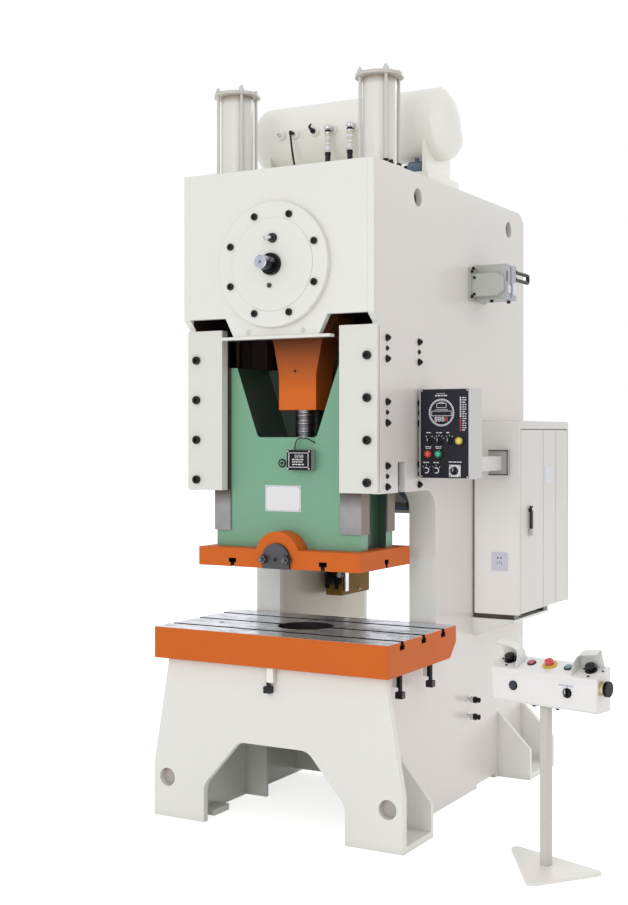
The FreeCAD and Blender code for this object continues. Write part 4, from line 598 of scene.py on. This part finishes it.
hoses = {
    "airHoseLeft": {"points": airRoute(-42, -1), "thick": 25, "length": 0.1592, "stiff": "stiff"},
    "airHoseRight": {"points": airRoute(73, 1), "thick": 25, "length": 0.1592, "stiff": "stiff"},
    "gaugeHose": {"points": [(-245, 283, 3118), (-240, 281, 3070), (-227, 280, 2990), (-211, 281, 2910),
                             (-195, 283, 2843)], "thick": 10, "length": 0.2795, "stiff": "medium"},
    "valveLoop": {"points": [(629, y, z) for y, z in (
        (915, 2477), (1000, 2477), (1080, 2477), (1098, 2476), (1098, 2442), (1080, 2441), (1000, 2441),
        (915, 2441))], "thick": 18, "length": 0.391, "stiff": "medium"},
    "readoutCable": {"points": [(52, -186, 1630), (53, -186, 1662), (72, -186, 1684), (112, -184, 1682),
                                (134, -176, 1668), (140, -166, 1662)], "thick": 5, "length": 0.137,
                     "stiff": "medium", "body": "slide"},
}


def makeHose(name, settings):
    curve = bpy.data.curves.new(name, "CURVE")
    curve.dimensions = "3D"
    curve.bevel_depth = settings["thick"] / 2 * mm
    curve.bevel_resolution, curve.resolution_u = 5, 16
    curve.use_fill_caps = True
    line = curve.splines.new("NURBS")
    route = [at(*point) for point in settings["points"]]
    line.points.add(len(route) - 1)
    for point, place in zip(line.points, route):
        point.co = (*place, 1)
    line.order_u = 3
    line.use_endpoint_u = True
    curve.materials.append(finishes["hose_black"])
    hose = addObject(name, curve)
    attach(hose, settings.get("body", "frame"))
    if settings.get("body") is None:
        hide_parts("hoses")
    settings["thick"] * mm
    "taut" if settings["stiff"] == "stiff" else "loose"


for hoseName, hoseSettings in hoses.items():
    makeHose(hoseName, hoseSettings)
print("hoses and cables:", len(hoses))


# screws: cylinder heads with hex sockets on the cover and guides, nuts and set screws on the side plates

screws = {
    "cover": {"circle": 224, "face": -291, "radius": 15, "proud": 10, "count": 8, "first": 22.5},
    "guide": {"x": 425, "face": -230, "radius": 18, "proud": 15, "low": 1451, "pitch": 176, "first": 0.27,
              "count": 4},
    "side": {"y": (-140, 175), "low": 1523, "pitch": 268, "count": 3, "apart": 44},
}


def capHead(centre, axis, radius, proud):
    socket = radius * 0.52
    return turned([(0, proud * 0.35), (socket, proud * 0.35, 6), (socket, proud * 0.9, 6),
                   (socket * 1.12, proud), (radius * 0.86, proud), (radius, proud * 0.84), (radius, 0)],
                  centre, axis)


def nutAndStud(centre, axis, radius, proud, stud=0.5):
    high, thread = proud * 0.62, radius * stud
    return turned([(0, proud), (thread * 0.8, proud), (thread, proud - 2), (thread, high),
                   (radius * 0.84, high), (radius, high - 2, 6), (radius, 2.5, 6), (radius * 1.15, 2.4),
                   (radius * 1.15, 0)], centre, axis)


def allScrews():
    cover, guide, side = screws["cover"], screws["guide"], screws["side"]
    shapes = []
    for k in range(cover["count"]):
        a = math.radians(cover["first"] + 360 / cover["count"] * k)
        centre = (cover["circle"] * math.cos(a), cover["face"], crankLevel + cover["circle"] * math.sin(a))
        shapes.append(capHead(centre, "-y", cover["radius"], cover["proud"]))
    for sign, axis in ((-1, "-x"), (1, "x")):
        for k in range(guide["count"]):
            centre = (guide["x"] * sign, guide["face"], guide["low"] + guide["pitch"] * (k + guide["first"]))
            shapes.append(capHead(centre, "-y", guide["radius"], guide["proud"]))
        for y in side["y"]:
            for k in range(side["count"]):
                for offset in (-side["apart"], 0, side["apart"]):
                    centre = (outerFace * sign, y, side["low"] + side["pitch"] * k + offset)
                    shapes.append(nutAndStud(centre, axis, 14, 17.5) if offset
                                  else nutAndStud(centre, axis, 9.5, 8.5, 0.7))
    return shapes


makePiece("pressScrews", "black_screws", allScrews(), instead="cap_screws")
print("screws made")


# air fittings on the tank, the drain under it and the two couplings low on the right side

fittings = {
    "bosses": (-322, -245, -137, -42, 73),  # a plug, the gauge's hose, a cock, and the two air hoses
    "face": 330.1,
    "level": 3120,
    "rings": (-34, -42, -60, -68, -84, -110),
    "drain": (294, 445, 2931),
    "couplings": {"y": 722, "levels": (367, 447)},
}


def makeFittings():
    face, level = fittings["face"], fittings["level"]
    plug, gauge, cock, *hosesAt = fittings["bosses"]

    def onFace(x, *profile):  # turned about a line out of the tank's front
        return turned(profile, (x, face, level), "-y")

    def below(x, out, *profile):  # turned about an upright line, out in front of the face
        return turned(profile, (x, face - out, level))

    bosses = [onFace(x, (12, 15), (20, 15), (23, 12), (23, -8)) for x in fittings["bosses"]]
    bosses += [onFace(x, (0, 20), (10, 20), (11, 19), (11, 12)) for x in fittings["bosses"]]
    bright, rings, dark, sleeves = [], [], [], []
    half = np.linspace(0, math.pi, 13)
    elbow = np.stack([19 * np.sin(half), 17 * np.cos(half)], axis=1)
    for x in hosesAt:
        bright += [onFace(x, (13, 14), (13, 22, 6), (13, 30, 6), (12, 31), (12, 40)), below(x, 50, *elbow),
                   below(x, 50, (14, -21), (14, -30))]
        dark += [below(x, 50, (14.6, -15), (14.6, -21)),
                 below(x, 50, (13.6, -115), (14.2, -118), (14.2, -129), (13.0, -131))]
        sleeves.append(below(x, 50, (13.2, -28), (13.2, -116)))
        rings += [below(x, 50, (13.3, low), (13.9, low + 0.6), (13.9, low + 2.4), (13.3, low + 3))
                  for low in fittings["rings"]]
    dark += [onFace(gauge, (6, 18), (7.5, 19), (7.5, 38), (6, 40)),
             below(gauge, 46, (0, 9), (6, 8), (7.5, 5), (7.5, -9), (6, -12)),
             onFace(cock, (9, 18), (12, 19), (12, 28), (9, 30)),
             pipe([(cock - left, face - out, level + up) for left, out, up in (
                 (0, 28, 0), (6, 33, 8), (13, 36, 20), (1, 37, 30))], (9, 8, 6, 4))]
    bright.append(onFace(plug, (0, 27), (5, 27), (5, 34), (9, 34), (10, 33, 6), (10, 18, 6)))
    drain = fittings["drain"]
    blue = [turned([(0, 0), (17, 0), (21, 3), (24, 9), (24, 71), (21, 77), (17, 80), (0, 80)], drain, "x"),
            turned([(9, -16), (9, 39)], (drain[0] + 40, *drain[1:]))]
    dark.append(turned([(0, -24), (8, -24), (10, -21), (10, 2)], drain, "x"))
    for low in fittings["couplings"]["levels"]:
        centre = (outerFace, fittings["couplings"]["y"], low)
        bright.append(turned([(0, 0), (16, 0), (16, 3), (11, 4), (11, 14), (16.8, 15, 6), (16.8, 30, 6),
                              (12, 31)], centre, "x"))
        dark.append(turned([(12, 31), (15.5, 32), (15.5, 44), (11, 45), (11, 53), (12.5, 54), (12.5, 60),
                            (9.5, 60.8), (9.5, 52), (0, 52)], centre, "x"))
    makePiece("hoseSleeves", "whitePrint", sleeves, instead="air_fittings")
    for name, look, shapes in (
            ("tankBosses", "tank_cream", bosses), ("tankElbows", "chrome", bright),
            ("hoseRings", "brass", rings), ("blackFittings", "black_screws", dark),
            ("tankDrain", "motor_blue", blue)):
        makePiece(name, look, shapes, instead="air_fittings")


makeFittings()
print("air fittings made")


# strokes, digits and marks: generic numbers and dial marks only, printed a little proud of their face


def bar(start, end, width, face, proud=0.6):
    # a straight stroke of even width between two points (x, z) of a plane that faces -y
    start, end = np.array(start, float), np.array(end, float)
    along = (end - start) / np.linalg.norm(end - start)
    across = np.array([-along[1], along[0]]) * width / 2
    return slab([start - across, end - across, end + across, start + across], (face - proud, face))


strokes = {"a": (0, 1, 1, 1), "b": (1, 1, 1, 0.5), "c": (1, 0.5, 1, 0), "d": (0, 0, 1, 0),
           "e": (0, 0, 0, 0.5), "f": (0, 0.5, 0, 1), "g": (0, 0.5, 1, 0.5)}
digitStrokes = {"0": "abcdef", "2": "abged", "5": "afgcd", "8": "abcdefg"}


def digits(number, x, z, wide, high, step, face, stroke):
    # seven-stroke digits: each stroke from (x + step k + wide a, z + high b) to its other end
    return [bar((x + step * k + wide * a, z + high * b), (x + step * k + wide * c, z + high * d), stroke,
                face) for k, sign in enumerate(number) for a, b, c, d in map(strokes.get, digitStrokes[sign])]


def markRow(x, z, widths, high, face, gap=3.0):  # a broken line of short marks
    shapes = []
    for width in widths:
        shapes.append(bar((x, z), (x + width, z), high, face))
        x += width + gap
    return shapes


def frameLine(x, z, width, face):  # four strokes round a rectangle
    (a, b), (c, d) = x, z
    return [bar(start, end, width, face) for start, end in (
        ((a, c), (b, c)), ((a, d), (b, d)), ((a, c), (a, d)), ((b, c), (b, d)))]


def dialMarks(centre, radius, length, width, face, angles, proud=0.6):  # short radial strokes
    shapes = []
    for angle in np.radians(angles):
        out = np.array([math.cos(angle), math.sin(angle)])
        shapes.append(bar(centre + out * (radius - length), centre + out * radius, width, face, proud))
    return shapes


# the control panel's film, dial, lamps and bezels

panel = {
    "face": 140.0,
    "dial": (594, 1793),
    "dialRadius": 60,
    "lamps": {"x": 683, "low": 1717, "high": 1856, "count": 15, "white": 9},
    "lampMarks": ((9, 6), (6, 10), (13,), (8, 8)),
    "selectors": {  # x, the angles of the dial's strokes, and the marks above
        "left": (536, (125, 55), (7, 9)), "middle": (583, (150, 120, 90, 60, 30), (8, 4, 8)),
        "right": (631, (125, 90, 55), (12,))},
    "selectorLevel": 1670,
    "keys": (523, 570),
    "keyLevel": 1543,
    "switch": (658, 1542),
    "corners": ((500, 714), (1516, 1888)),
}


def makePanel():
    face, (cx, cz) = panel["face"], panel["dial"]
    white = dialMarks((cx, cz), panel["dialRadius"], 8.5, 4.4, face, np.arange(0, 360, 7.5))
    white += frameLine((cx - 22, cx + 22), (cz + 21, cz + 39), 2.0, face)
    white += frameLine((cx - 46, cx + 46), (cz - 14, cz + 6), 2.0, face)
    white += [bar((cx - half, cz + up), (cx + half, cz + up), width, face)
              for half, up, width in ((12, 44, 3), (30, 12, 2))]
    white += digits("888", cx - 30, cz - 37, 9, 17, 16, face, 3.2)
    white += markRow(cx - 30, cz + 73, (9, 14, 8, 16), 5, face)
    white += markRow(cx - 22, cz + 82, (5,) * 5, 2.6, face)
    red = digits("8", cx + 18, cz - 37, 9, 17, 16, face, 3.2)
    lamps = panel["lamps"]
    for k, level in enumerate(np.linspace(lamps["high"], lamps["low"], lamps["count"])):
        lamp = turned([(0, 1.6), (2.8, 1.6), (3.8, 0.9), (3.8, -0.5)], (lamps["x"], face, level), "-y", 16)
        (white if k < lamps["white"] else red).append(lamp)
        white += markRow(lamps["x"] + 8, level, panel["lampMarks"][k % 4], 4.2, face)
    dark, level = [], panel["selectorLevel"]
    for side, (x, angles, widths) in panel["selectors"].items():
        white += dialMarks((x, level), 27, 6, 2.4, face, angles)
        white += markRow(x - 13, level + 36, widths, 4.5, face)
        dark.append(ring(13.3, 17, 0, 3, (x, face, level), "-y", 28))
        makePiece("selectorLine" + side.title(), "silverInk",
                  bar((x, level - 1), (x, level + 11.5), 3.4, face - 20, 0.7), "panel_selector_" + side)
    for x, z in [button["at"] for button in panelButtons.values()]:
        dark.append(ring(16.4, 20.5, 0, 4.5, (x, face, z), "-y", 32))
        if z < level:  # only the lower two have marks above them
            white += markRow(x - 16, z + 31, (8, 6, 8), 4, face, 2.5)
            white += markRow(x - 14, z + 24, (12, 9), 3, face, 2.5)
    level = panel["keyLevel"]
    for x in panel["keys"]:
        white += markRow(x - 14, level + 34, (8, 5, 8), 4.4, face, 2.5)
        white += dialMarks((x, level), 24, 5, 2.2, face, (135, 90, 45))
        white.append(ring(9.3, 13.5, 0, 2.5, (x, face, level), "-y", 28))
    x, z = panel["switch"]
    white += markRow(x - 30, z + 38, (10, 7, 12, 8, 10), 4.4, face)
    dark += [turned([(0, 7.4), (2.2, 7.4), (2.6, 6.8), (2.6, 5.5)], (x + a, face, z + b), "-y", 12)
             for b in (21, -21) for a in (-21, 21)]
    bright = [ring(18.3, 21.5, 6, 10, (x, face, z), "-y", 32)]
    bright += [turned([(0, 1.2), (2.6, 1.6), (3.4, 0.9), (3.4, -0.5)], (a, face, b), "-y", 14)
               for a in panel["corners"][0] for b in panel["corners"][1]]
    makePiece("keySwitchLine", "silverInk", bar((x, z - 2), (x, z + 15), 3.6, face - 26, 0.7),
              "panel_key_switch")
    makePiece("panelMarks", "whitePrint", white)
    makePiece("panelReds", "digitRed", red)
    makePiece("panelRings", "black_screws", dark)
    makePiece("panelBright", "chrome", bright)


makePanel()
print("panel made")


# the slide: readout, lock, the bare plate, the clamp's nuts and washers, and the adjusting screw's thread

slideDetails = {
    "face": -165,
    "meter": {"x": (39, 131), "z": (1560, 1618), "face": -211, "screen": -206.6},
    "lock": (-23, 1574),
    "label": ((-109, 70), (1364, 1477)),
    "clamp": {"x": 57, "z": 1164.5, "face": -262},
    "thread": {"low": 1688.0, "high": 1806.0, "pitch": 9.0, "root": 43.4, "depth": 2.6, "steps": 40,
               "rowsPerTurn": 6, "sharpness": 0.7},
}


def makeMeter():
    meter = slideDetails["meter"]
    (left, right), (low, high), face, screen = meter["x"], meter["z"], meter["face"], meter["screen"]
    depth = (face - 1.6, face + 2)
    rim = [block((left - 3, right + 3), depth, z, 1, 0.5) for z in ((low - 3, low), (high, high + 3))]
    rim += [block(x, depth, (low - 3, high + 3), 1, 0.5) for x in ((left - 3, left), (right, right + 3))]
    rim += [capHead((x, face, z), "-y", 3.6, 3) for x in (left - 6, right + 6) for z in (low - 8, high + 8)]
    readings = digits("0250", left + 26, high - 18, 6, 11, 11, screen, 2.2)
    for drop, widths in ((27, (9, 5, 12, 7, 10)), (37, (6,) * 6), (48, (14, 8, 16, 11))):
        readings += markRow(left + 12, high - drop, widths, 5, screen)
    makePiece("meterRim", "chrome", rim, "slide")
    pane = block(meter["x"], (screen, screen + 2), meter["z"], 1, 0.3)
    makePiece("meterScreen", "screenGlass", pane, "slide")
    makePiece("meterDigits", "whitePrint", readings, "slide")


def makeSlideDetails():
    face, (x, z) = slideDetails["face"], slideDetails["lock"]
    rosette = [ring(13, 18.6, -4, 3, (x, face, z), "-y"),
               turned([(0, 6), (5, 6), (7, 4), (7.5, -6)], (x, face, z), "-y", 24)]
    rosette += dialMarks((x, z), 14, 8, 3.4, face + 2, np.arange(0, 360, 45), 4.5)
    makePiece("slideLock", "black_screws", rosette, "slide")
    (a, b), (c, d) = slideDetails["label"]
    edge = frameLine((a + 4, b - 4), (c + 4, d - 4), 2.2, face - 1.2)
    edge += [turned([(0, 2.4), (2, 2.2), (3, 1), (3, -0.4)], (x, face - 1, z), "-y", 14)
             for x in (a + 9, b - 9) for z in (c + 9, d - 9)]
    makePiece("slidePlateBlank", "labelWhite", block((a, b), (face - 1.2, face), (c, d), 4, 0.4), "slide")
    makePiece("slidePlateEdge", "silverInk", edge, "slide")
    clamp = slideDetails["clamp"]
    nuts, washers = [], []
    for sign in (-1, 1):
        centre = (clamp["x"] * sign, clamp["face"], clamp["z"])
        nuts.append(turned([(0, 37), (8, 37), (9.4, 35), (9.4, 20), (14, 20), (17, 18, 6), (17, 4, 6),
                            (16, 3)], centre, "-y"))
        washers.append(turned([(12, 3.4), (20, 3.4), (21, 2.4), (21, 0)], centre, "-y"))
    makePiece("clampNuts", "nutSteel", nuts, "slide")
    makePiece("clampWashers", "washerSteel", washers, "slide")
    face, level = clamp["face"], clamp["z"]
    key = block((-8, 8), (face - 1.2, face + 8), (level - 8, level + 8), 1.5, 0.6)
    makePiece("clampKey", "black_screws", key, "slide")


def makeThread():
    # a screw's skin: at the angle a and the height z the radius is
    # root + depth * (half of 1 + cos(2 pi z / pitch - a)) to the power of the sharpness
    thread = slideDetails["thread"]
    rows = int((thread["high"] - thread["low"]) / thread["pitch"] * thread["rowsPerTurn"])
    a = np.linspace(0, 2 * math.pi, thread["steps"], endpoint=False)
    z = np.linspace(thread["low"], thread["high"], rows)[:, None]
    wave = 0.5 + 0.5 * np.cos(2 * math.pi * z / thread["pitch"] - a[None, :])
    reach = thread["root"] + thread["depth"] * wave ** thread["sharpness"]
    grid = np.stack([reach * np.cos(a), reach * np.sin(a), np.repeat(z, thread["steps"], 1)], axis=-1)
    makePiece("screwThread", "threadSteel", woven(grid), "slide", crease=60)


makeMeter()
makeSlideDetails()
makeThread()
print("slide details made")


# the head: cover fitting, key, plugs on the trapezoid; nuts on and under the counterbalance cylinders; seams

head = {
    "fitting": (6, -293, 2533),
    "key": ((22, 33), (-352, -308), (2424, 2442)),
    "hub": (0, -308, crankLevel),
    "plugs": (137, -261, 2139),
    "cylinders": {"x": 363, "y": 5, "tie": 62, "cap": 3247, "foot": 2855},
    "topNuts": (452, -62, 2839),
    "guideSeam": {"y": (-214.6, -212.2), "z": (1455, 2150)},
    "tankSeam": {"x": 368, "y": 495, "z": 3125, "radius": 164.0},
}
capNut = [(0, 27), (5, 26.4), (8, 23), (8.6, 15), (12, 15), (14, 13, 6), (14, 3, 6), (17, 2.6), (17, -0.2)]
footNut = [(7.4, 15), (11, 15), (13, 13, 6), (13, 3, 6), (16, 2.6), (16, -0.2)]
plateNut = [(0, 23), (7, 23), (9, 21), (9, 11), (12, 10, 6), (12, 3, 6), (14, 2), (14, -0.2)]


def makeHeadDetails():
    x, y, z = head["fitting"]
    bright = [turned([(0, 34), (5, 34), (7, 31), (7, 24), (10, 23, 6), (10, 16, 6)], (x, y, z), "-y", 24)]
    bright.append(turned([(0, 33), (4, 33), (6, 30), (6, 24), (8.4, 23, 6), (8.4, 4, 6)],
                         (x - 4, y - 19, z), "-x", 24))
    dark = [ring(10, 19.4, 2, 12, (x, y, z), "-y"), ring(15, 21, 0, 3, (x, y, z), "-y")]
    ties, seam, edge = head["cylinders"], head["tankSeam"], head["guideSeam"]
    caps, feet, seams, edges = [], [], [], []
    for sign in (-1, 1):
        x, y, z = head["plugs"]
        bright.append(turned([(0, 3), (4, 3), (4, 5), (8, 5), (9.5, 3.4), (9.5, -0.5)],
                             (x * sign, y, z), "-y", 24))
        for a in (-1, 1):
            for b in (-1, 1):
                x, y = ties["x"] * sign + ties["tie"] * a, ties["y"] + ties["tie"] * b
                caps.append(turned(capNut, (x, y, ties["cap"])))
                feet.append(turned(footNut, (x, y, ties["foot"])))
        seams.append(loopRing((seam["x"] * sign, seam["y"], seam["z"]), "x", seam["radius"], 1.4, 72))
        limits = sorted((sign * (outerFace - 0.4), sign * (outerFace + 0.5)))
        edges.append(block(limits, edge["y"], edge["z"], 0.5, 0.2, "z"))
    x, y, z = head["topNuts"]
    feet += [turned(plateNut, (x * sign, y, z)) for sign in (1, -1)]
    makePiece("headBright", "chrome", bright)
    makePiece("headDark", "black_screws", dark)
    makePiece("cylinderNuts", "cylinderBright", caps)
    makePiece("cylinderFeet", "black_screws", feet)
    makePiece("noseKey", "nutSteel", block(*head["key"], 3), "crankshaft")
    makePiece("noseRings", "black_screws", [ring(30.2, 36, 0, 3.5, head["hub"], "-y"),
                                            ring(40, 46.6, 0, 1.6, head["hub"], "-y")], "crankshaft")
    makePiece("guideSeams", "padRubber", edges)
    makePiece("tankSeams", "tank_cream", seams)


makeHeadDetails()
print("head details made")


# the right side: valve bolts, ports and pads, the cabinet's socket, clasp, rear door plate and handle lock

rightSide = {
    "valveFoot": 485,
    "valveBolts": ((746, 2486), (728, 2470), (728, 2350), (922, 2350), (922, 2470)),
    "valvePorts": ((560, 800), (610, 890)),
    "valveCap": 639,
    "valveHose": (629, 915),
    "hoseLevels": (2477, 2441),
    "socket": {"x": (570, 650), "z": (1057, 1143), "face": 778},
    "clasp": {"x": (565, 661), "z": (1508, 1625), "face": 748},
    "doorFace": 705,
    "rearPlate": ((1133, 1250), (1457, 1539)),
    "rearBead": ((1290, 1296), (862, 1716)),
    "handleLock": (717, 912, 1345),
    "bracket": (560, (800, 1200), 815.5),
}


def makeValveDetails():
    foot, cap = rightSide["valveFoot"], rightSide["valveCap"]
    bolts = [capHead((foot, y, z), "x", 8, 9) for y, z in rightSide["valveBolts"]]
    bolts += [capHead((499, 734.6, z), "-y", 6.5, 7) for z in (2362, 2440)]
    bolts += [turned([(0, 12), (7, 12), (9, 10), (9, -0.5)], (x, y, 2337), "-z", 20)
              for x, y in rightSide["valvePorts"]]
    lines = [block((cap, cap + 1.2), (842, 847), (2345, 2495), 1, 0.3, "x"),
             block((cap, cap + 1.4), (790, 800), (2420, 2470), 1, 0.3, "x")]
    pads = [block((cap, cap + 6), (862, 902), (2360, 2420), 3, 1.0, "x"),
            block((cap, cap + 4), (800, 836), (2368, 2404), 3, 0.8, "x")]
    makePiece("valveBolts", "black_screws", bolts)
    makePiece("valveLines", "black_screws", lines)
    makePiece("valvePads", "whitePrint", pads)
    makePiece("valveGlands", "black_screws", [
        turned([(9.2, 22), (12, 20), (14, 12), (14, 0)], (*rightSide["valveHose"], z), "y", 24)
        for z in rightSide["hoseLevels"]])


def makeCabinetDetails():
    (a, b), (c, d), face = rightSide["socket"].values()
    makePiece("socketPlate", "socketPlastic",
              [block((a, b), (face - 6, face), (c, d), 5, 1.5),
               block((a + 12, b - 12), (face - 7.5, face - 5), (c + 12, d - 12), 3, 0.8)])
    middle = (a + b) / 2
    holes = [turned([(0, 8), (3.6, 8), (4.2, 7.4), (4.2, 6)], (x, face, d - 26), "-y", 16)
             for x in (middle - 8, middle + 8)]
    holes += [bar((middle + dx, c + low), (middle + dx * lean, c + low + 10), 2.4, face - 7.4)
              for dx, lean, low in ((-10, 1.2, 30), (10, 1.2, 30), (0, 1, 36))]
    makePiece("socketHoles", "black_screws", holes)
    (a, b), (c, d), face = rightSide["clasp"].values()
    depth = (face - 3, face)
    rim = [block((a - 1, b + 1), depth, z, 1, 0.6) for z in ((c - 1, c + 5), (d - 5, d + 1))]
    rim.append(block((b - 5, b + 1), depth, (c, d), 1, 0.6))
    makePiece("claspRim", "nutSteel", rim)
    face = rightSide["doorFace"]
    makePiece("rearDoorPlate", "whitePrint", block((face, face + 1.6), *rightSide["rearPlate"], 3, 0.5, "x"),
              "cabinet_door_rear")
    makePiece("rearDoorBead", "cabinet_grey", block((face, face + 1.4), *rightSide["rearBead"], 1, 0.4, "x"),
              "cabinet_door_rear")
    lock = turned([(0, 9), (5, 9), (7, 7), (7, 0)], rightSide["handleLock"], "x", 20)
    makePiece("handleLock", "chrome", lock, "door_handle")
    x, places, z = rightSide["bracket"]
    makePiece("bracketBolts", "black_screws", [capHead((x, y, z), "-z", 9, 9) for y in places])


makeValveDetails()
makeCabinetDetails()
print("right side made")


# under and behind: ribs and feet inside the bed, plates behind the leg holes, air unit, guard screws

bed = {
    "rib": {"in": 330, "step": 60, "y": (205, 223), "levels": (0, 330, 420, 712)},
    "foot": {"in": 365, "y": (-180, -60), "z": (0, 28)},
    "holes": (545, -258, 175),
    "unit": {"left": -411, "right": -317, "front": 930, "back": 1240, "low": 868, "top": 1000},
    "wheel": (-372, 930, 950),
    "gauge": (-322, 930, 976),
    "guardBack": 1456,
    "guardScrews": {"half": 440, "count": 5, "edge": 16},
}


def makeBed():
    rib, foot, (x, y, z) = bed["rib"], bed["foot"], bed["holes"]
    floor, low, high, top = rib["levels"]
    shapes, backs = [], []
    for sign in (-1, 1):
        wall, inner, far = innerFace * sign, rib["in"] * sign, (rib["in"] - rib["step"]) * sign
        outline = [(wall, floor), (inner, floor), (inner, low), (far, high), (far, top), (wall, top)]
        shapes.append(slab(outline, rib["y"]))
        shapes.append(block(sorted((foot["in"] * sign, wall)), foot["y"], foot["z"], 2, 1.0, "z"))
        backs.append(turned([(0, 5), (46, 5), (47, 4), (47, 0), (0, 0)], (x * sign, y, z), "y"))
    makePiece("bedRibs", "frame_white", shapes)
    makePiece("legHoleBacks", "shadedEnamel", backs)


def makeAirUnit():
    # valve body, its handwheel in front, a small gauge at the corner, and the tube and screw on its side
    left, right, front, back, low, top = bed["unit"].values()
    body = [block((left, right), (front, back), (low, top), 3, 2.0),
            block((left + 6, right - 6), (back, back + 6), (low + 12, top - 10), 3, 1.0)]
    dark = [turned([(0, 32), (18, 32), (22, 29), (26, 24), (26, 12), (12, 10), (12, 0)],
                   bed["wheel"], "-y", 28),
            block((left + 3, left + 19), (front - 16, front), (905, 992), 3, 1.5),
            block((-352, -338), (front - 12, front), (900, 975), 3, 1.5),
            ring(15, 18, 0, 22, bed["gauge"], "-y", 28)]
    white = [turned([(0, 20), (14, 20), (15.2, 19), (15.2, 0)], bed["gauge"], "-y", 28),
             turned([(0, 8), (6, 8), (8, 6), (8, 0)], (right, 1120, 888), "x", 18)]
    tube = [block((right, right + 12), (946, 984), (889, 990), 4, 1.5, "x"),
            turned([(0, 8), (6, 8), (6, 0)], (right, 1010, 985), "x", 16)]
    makePiece("airUnitBody", "ochre", body, instead="air_unit")
    makePiece("unitDark", "black_screws", dark)
    makePiece("unitWhite", "whitePrint", white)
    makePiece("unitTube", "chrome", tube)


def makeGuardScrews():
    low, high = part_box("flywheel_guard")
    half, count, edge = bed["guardScrews"].values()
    makePiece("guardScrews", "black_screws", [
        capHead((x, bed["guardBack"], level), "y", 8, 7) for x in np.linspace(-half, half, count)
        for level in (low[2] / mm + edge, high[2] / mm - edge)])


makeBed()
makeAirUnit()
makeGuardScrews()
print("bed and back made")


# the console: rings and plates under the buttons, screws, the folded rim and what hangs under the box

desk = {
    "line": 8,
    "buttons": (-83, 83),
    "palms": {"Left": -182, "Right": 182},
    "screws": ((-178, -31), (192, -35), (148, 15), (230, 13), (-218, 12)),
    "front": -49,
    "case": (-224, 256),
    "selector": (124, 708),
    "button": (-120, 708),
    "bottom": ((-34, -34, 643), (72, -34, 643)),
}


def makeConsole():
    line, face, (left, right) = desk["line"], desk["front"], desk["case"]
    dark = [ring(14.6, 18, 0, 4, (x, line, 0)) for x in desk["buttons"]]
    dark += [ring(18.8, 24, 0, 5, (x, line, 0)) for x in desk["palms"].values()]
    dark += [turned([(0, 4), (3.4, 4), (4.4, 3), (4.4, -0.3)], (x, y, 0), "z", 16) for x, y in desk["screws"]]
    makePiece("consoleRings", "black_screws", dark, space=onTop)
    stop = (0, line, 0)
    makePiece("stopPlate", "stopYellow",
              [ring(14.8, 29.4, 0, 4.8, stop, "z", 40), ring(16, 21, 4.6, 7.5, stop, "z", 40)], space=onTop)
    makePiece("stopRidge", "console_stop", loopRing((0, line, 26), "z", 9, 1.4, 32), "console_stop",
              space=onTop)
    for side, x in desk["palms"].items():
        collar = turned([(14.2, 8), (17, 9), (18, 12), (20.4, 14.4), (14.2, 14.6), (14.2, 8)],
                        (x, line, 0), ends=False)
        makePiece("palmCollar" + side, "knob_black", collar, "console_palm_" + side.lower(), space=onTop)
    rim = [block(limits, (face - 2.4, face), levels, 1, 0.6) for limits, levels in (
        ((left, left + 5), (645, 742)), ((right - 5, right), (645, 742)), ((left, right), (643, 648)))]
    makePiece("consoleRim", "console_box", rim, space=onConsole)
    navy = [ring(15.3, 19, 0, 3, (x, face, z), "-y") for x, z in (desk["selector"], desk["button"])]
    navy += [turned([(0, 9), (5, 9), (7, 7), (7, 0)], spot, "-z", 16) for spot in desk["bottom"]]
    makePiece("consoleFrontRings", "black_screws", navy, space=onConsole)
    x, z = desk["selector"]
    marks = markRow(x - 36, z + 28, (6, 9, 5, 11, 6, 9), 5, face)
    marks += dialMarks((x, z), 26, 5, 2, face, (135, 90, 45))
    makePiece("consoleMarks", "blueInk", marks, space=onConsole)
    makePiece("consoleSelectorLine", "whitePrint", bar((x, z - 1), (x, z + 13), 3.6, face - 20, 0.7),
              "console_front_selector", space=onConsole)


makeConsole()
print("console details made")


# the floor, which glows for the camera alone, and a white sky


def makeStage():
    half = studio["floorHalf"]
    mesh = bpy.data.meshes.new("studioFloor")
    corners = [(-half, -half, 0), (half, -half, 0), (half, half, 0), (-half, half, 0)]
    mesh.from_pydata(corners, [], [(0, 1, 2, 3)])
    floor = addObject("studioFloor", mesh)
    floor.location.z = studio["floorLevel"]
    f = Finish(bpy.data.materials.new("studioFloor"))
    pale = f.node("ShaderNodeBsdfDiffuse", links={"Color": (studio["floor"],) * 3 + (1,)})
    glow = f.node("ShaderNodeEmission", links={
        "Color": (1, 1, 1, 1), "Strength": f.seenDirectly() * studio["floorLift"]})
    both = f.node("ShaderNodeAddShader", links={0: pale, 1: glow})
    f.node("ShaderNodeOutputMaterial", links={"Surface": both})
    mesh.materials.append(f.owner)
    bpy.context.scene.world = bpy.data.worlds.new("studioSky")
    sky = Finish(bpy.context.scene.world)
    strength = sky.seenDirectly() * (1 - studio["skyLight"]) + studio["skyLight"]
    light = sky.node("ShaderNodeBackground", links={"Color": (1, 1, 1, 1), "Strength": strength})
    sky.node("ShaderNodeOutputWorld", links={"Surface": light})


makeStage()
print("floor and sky made")
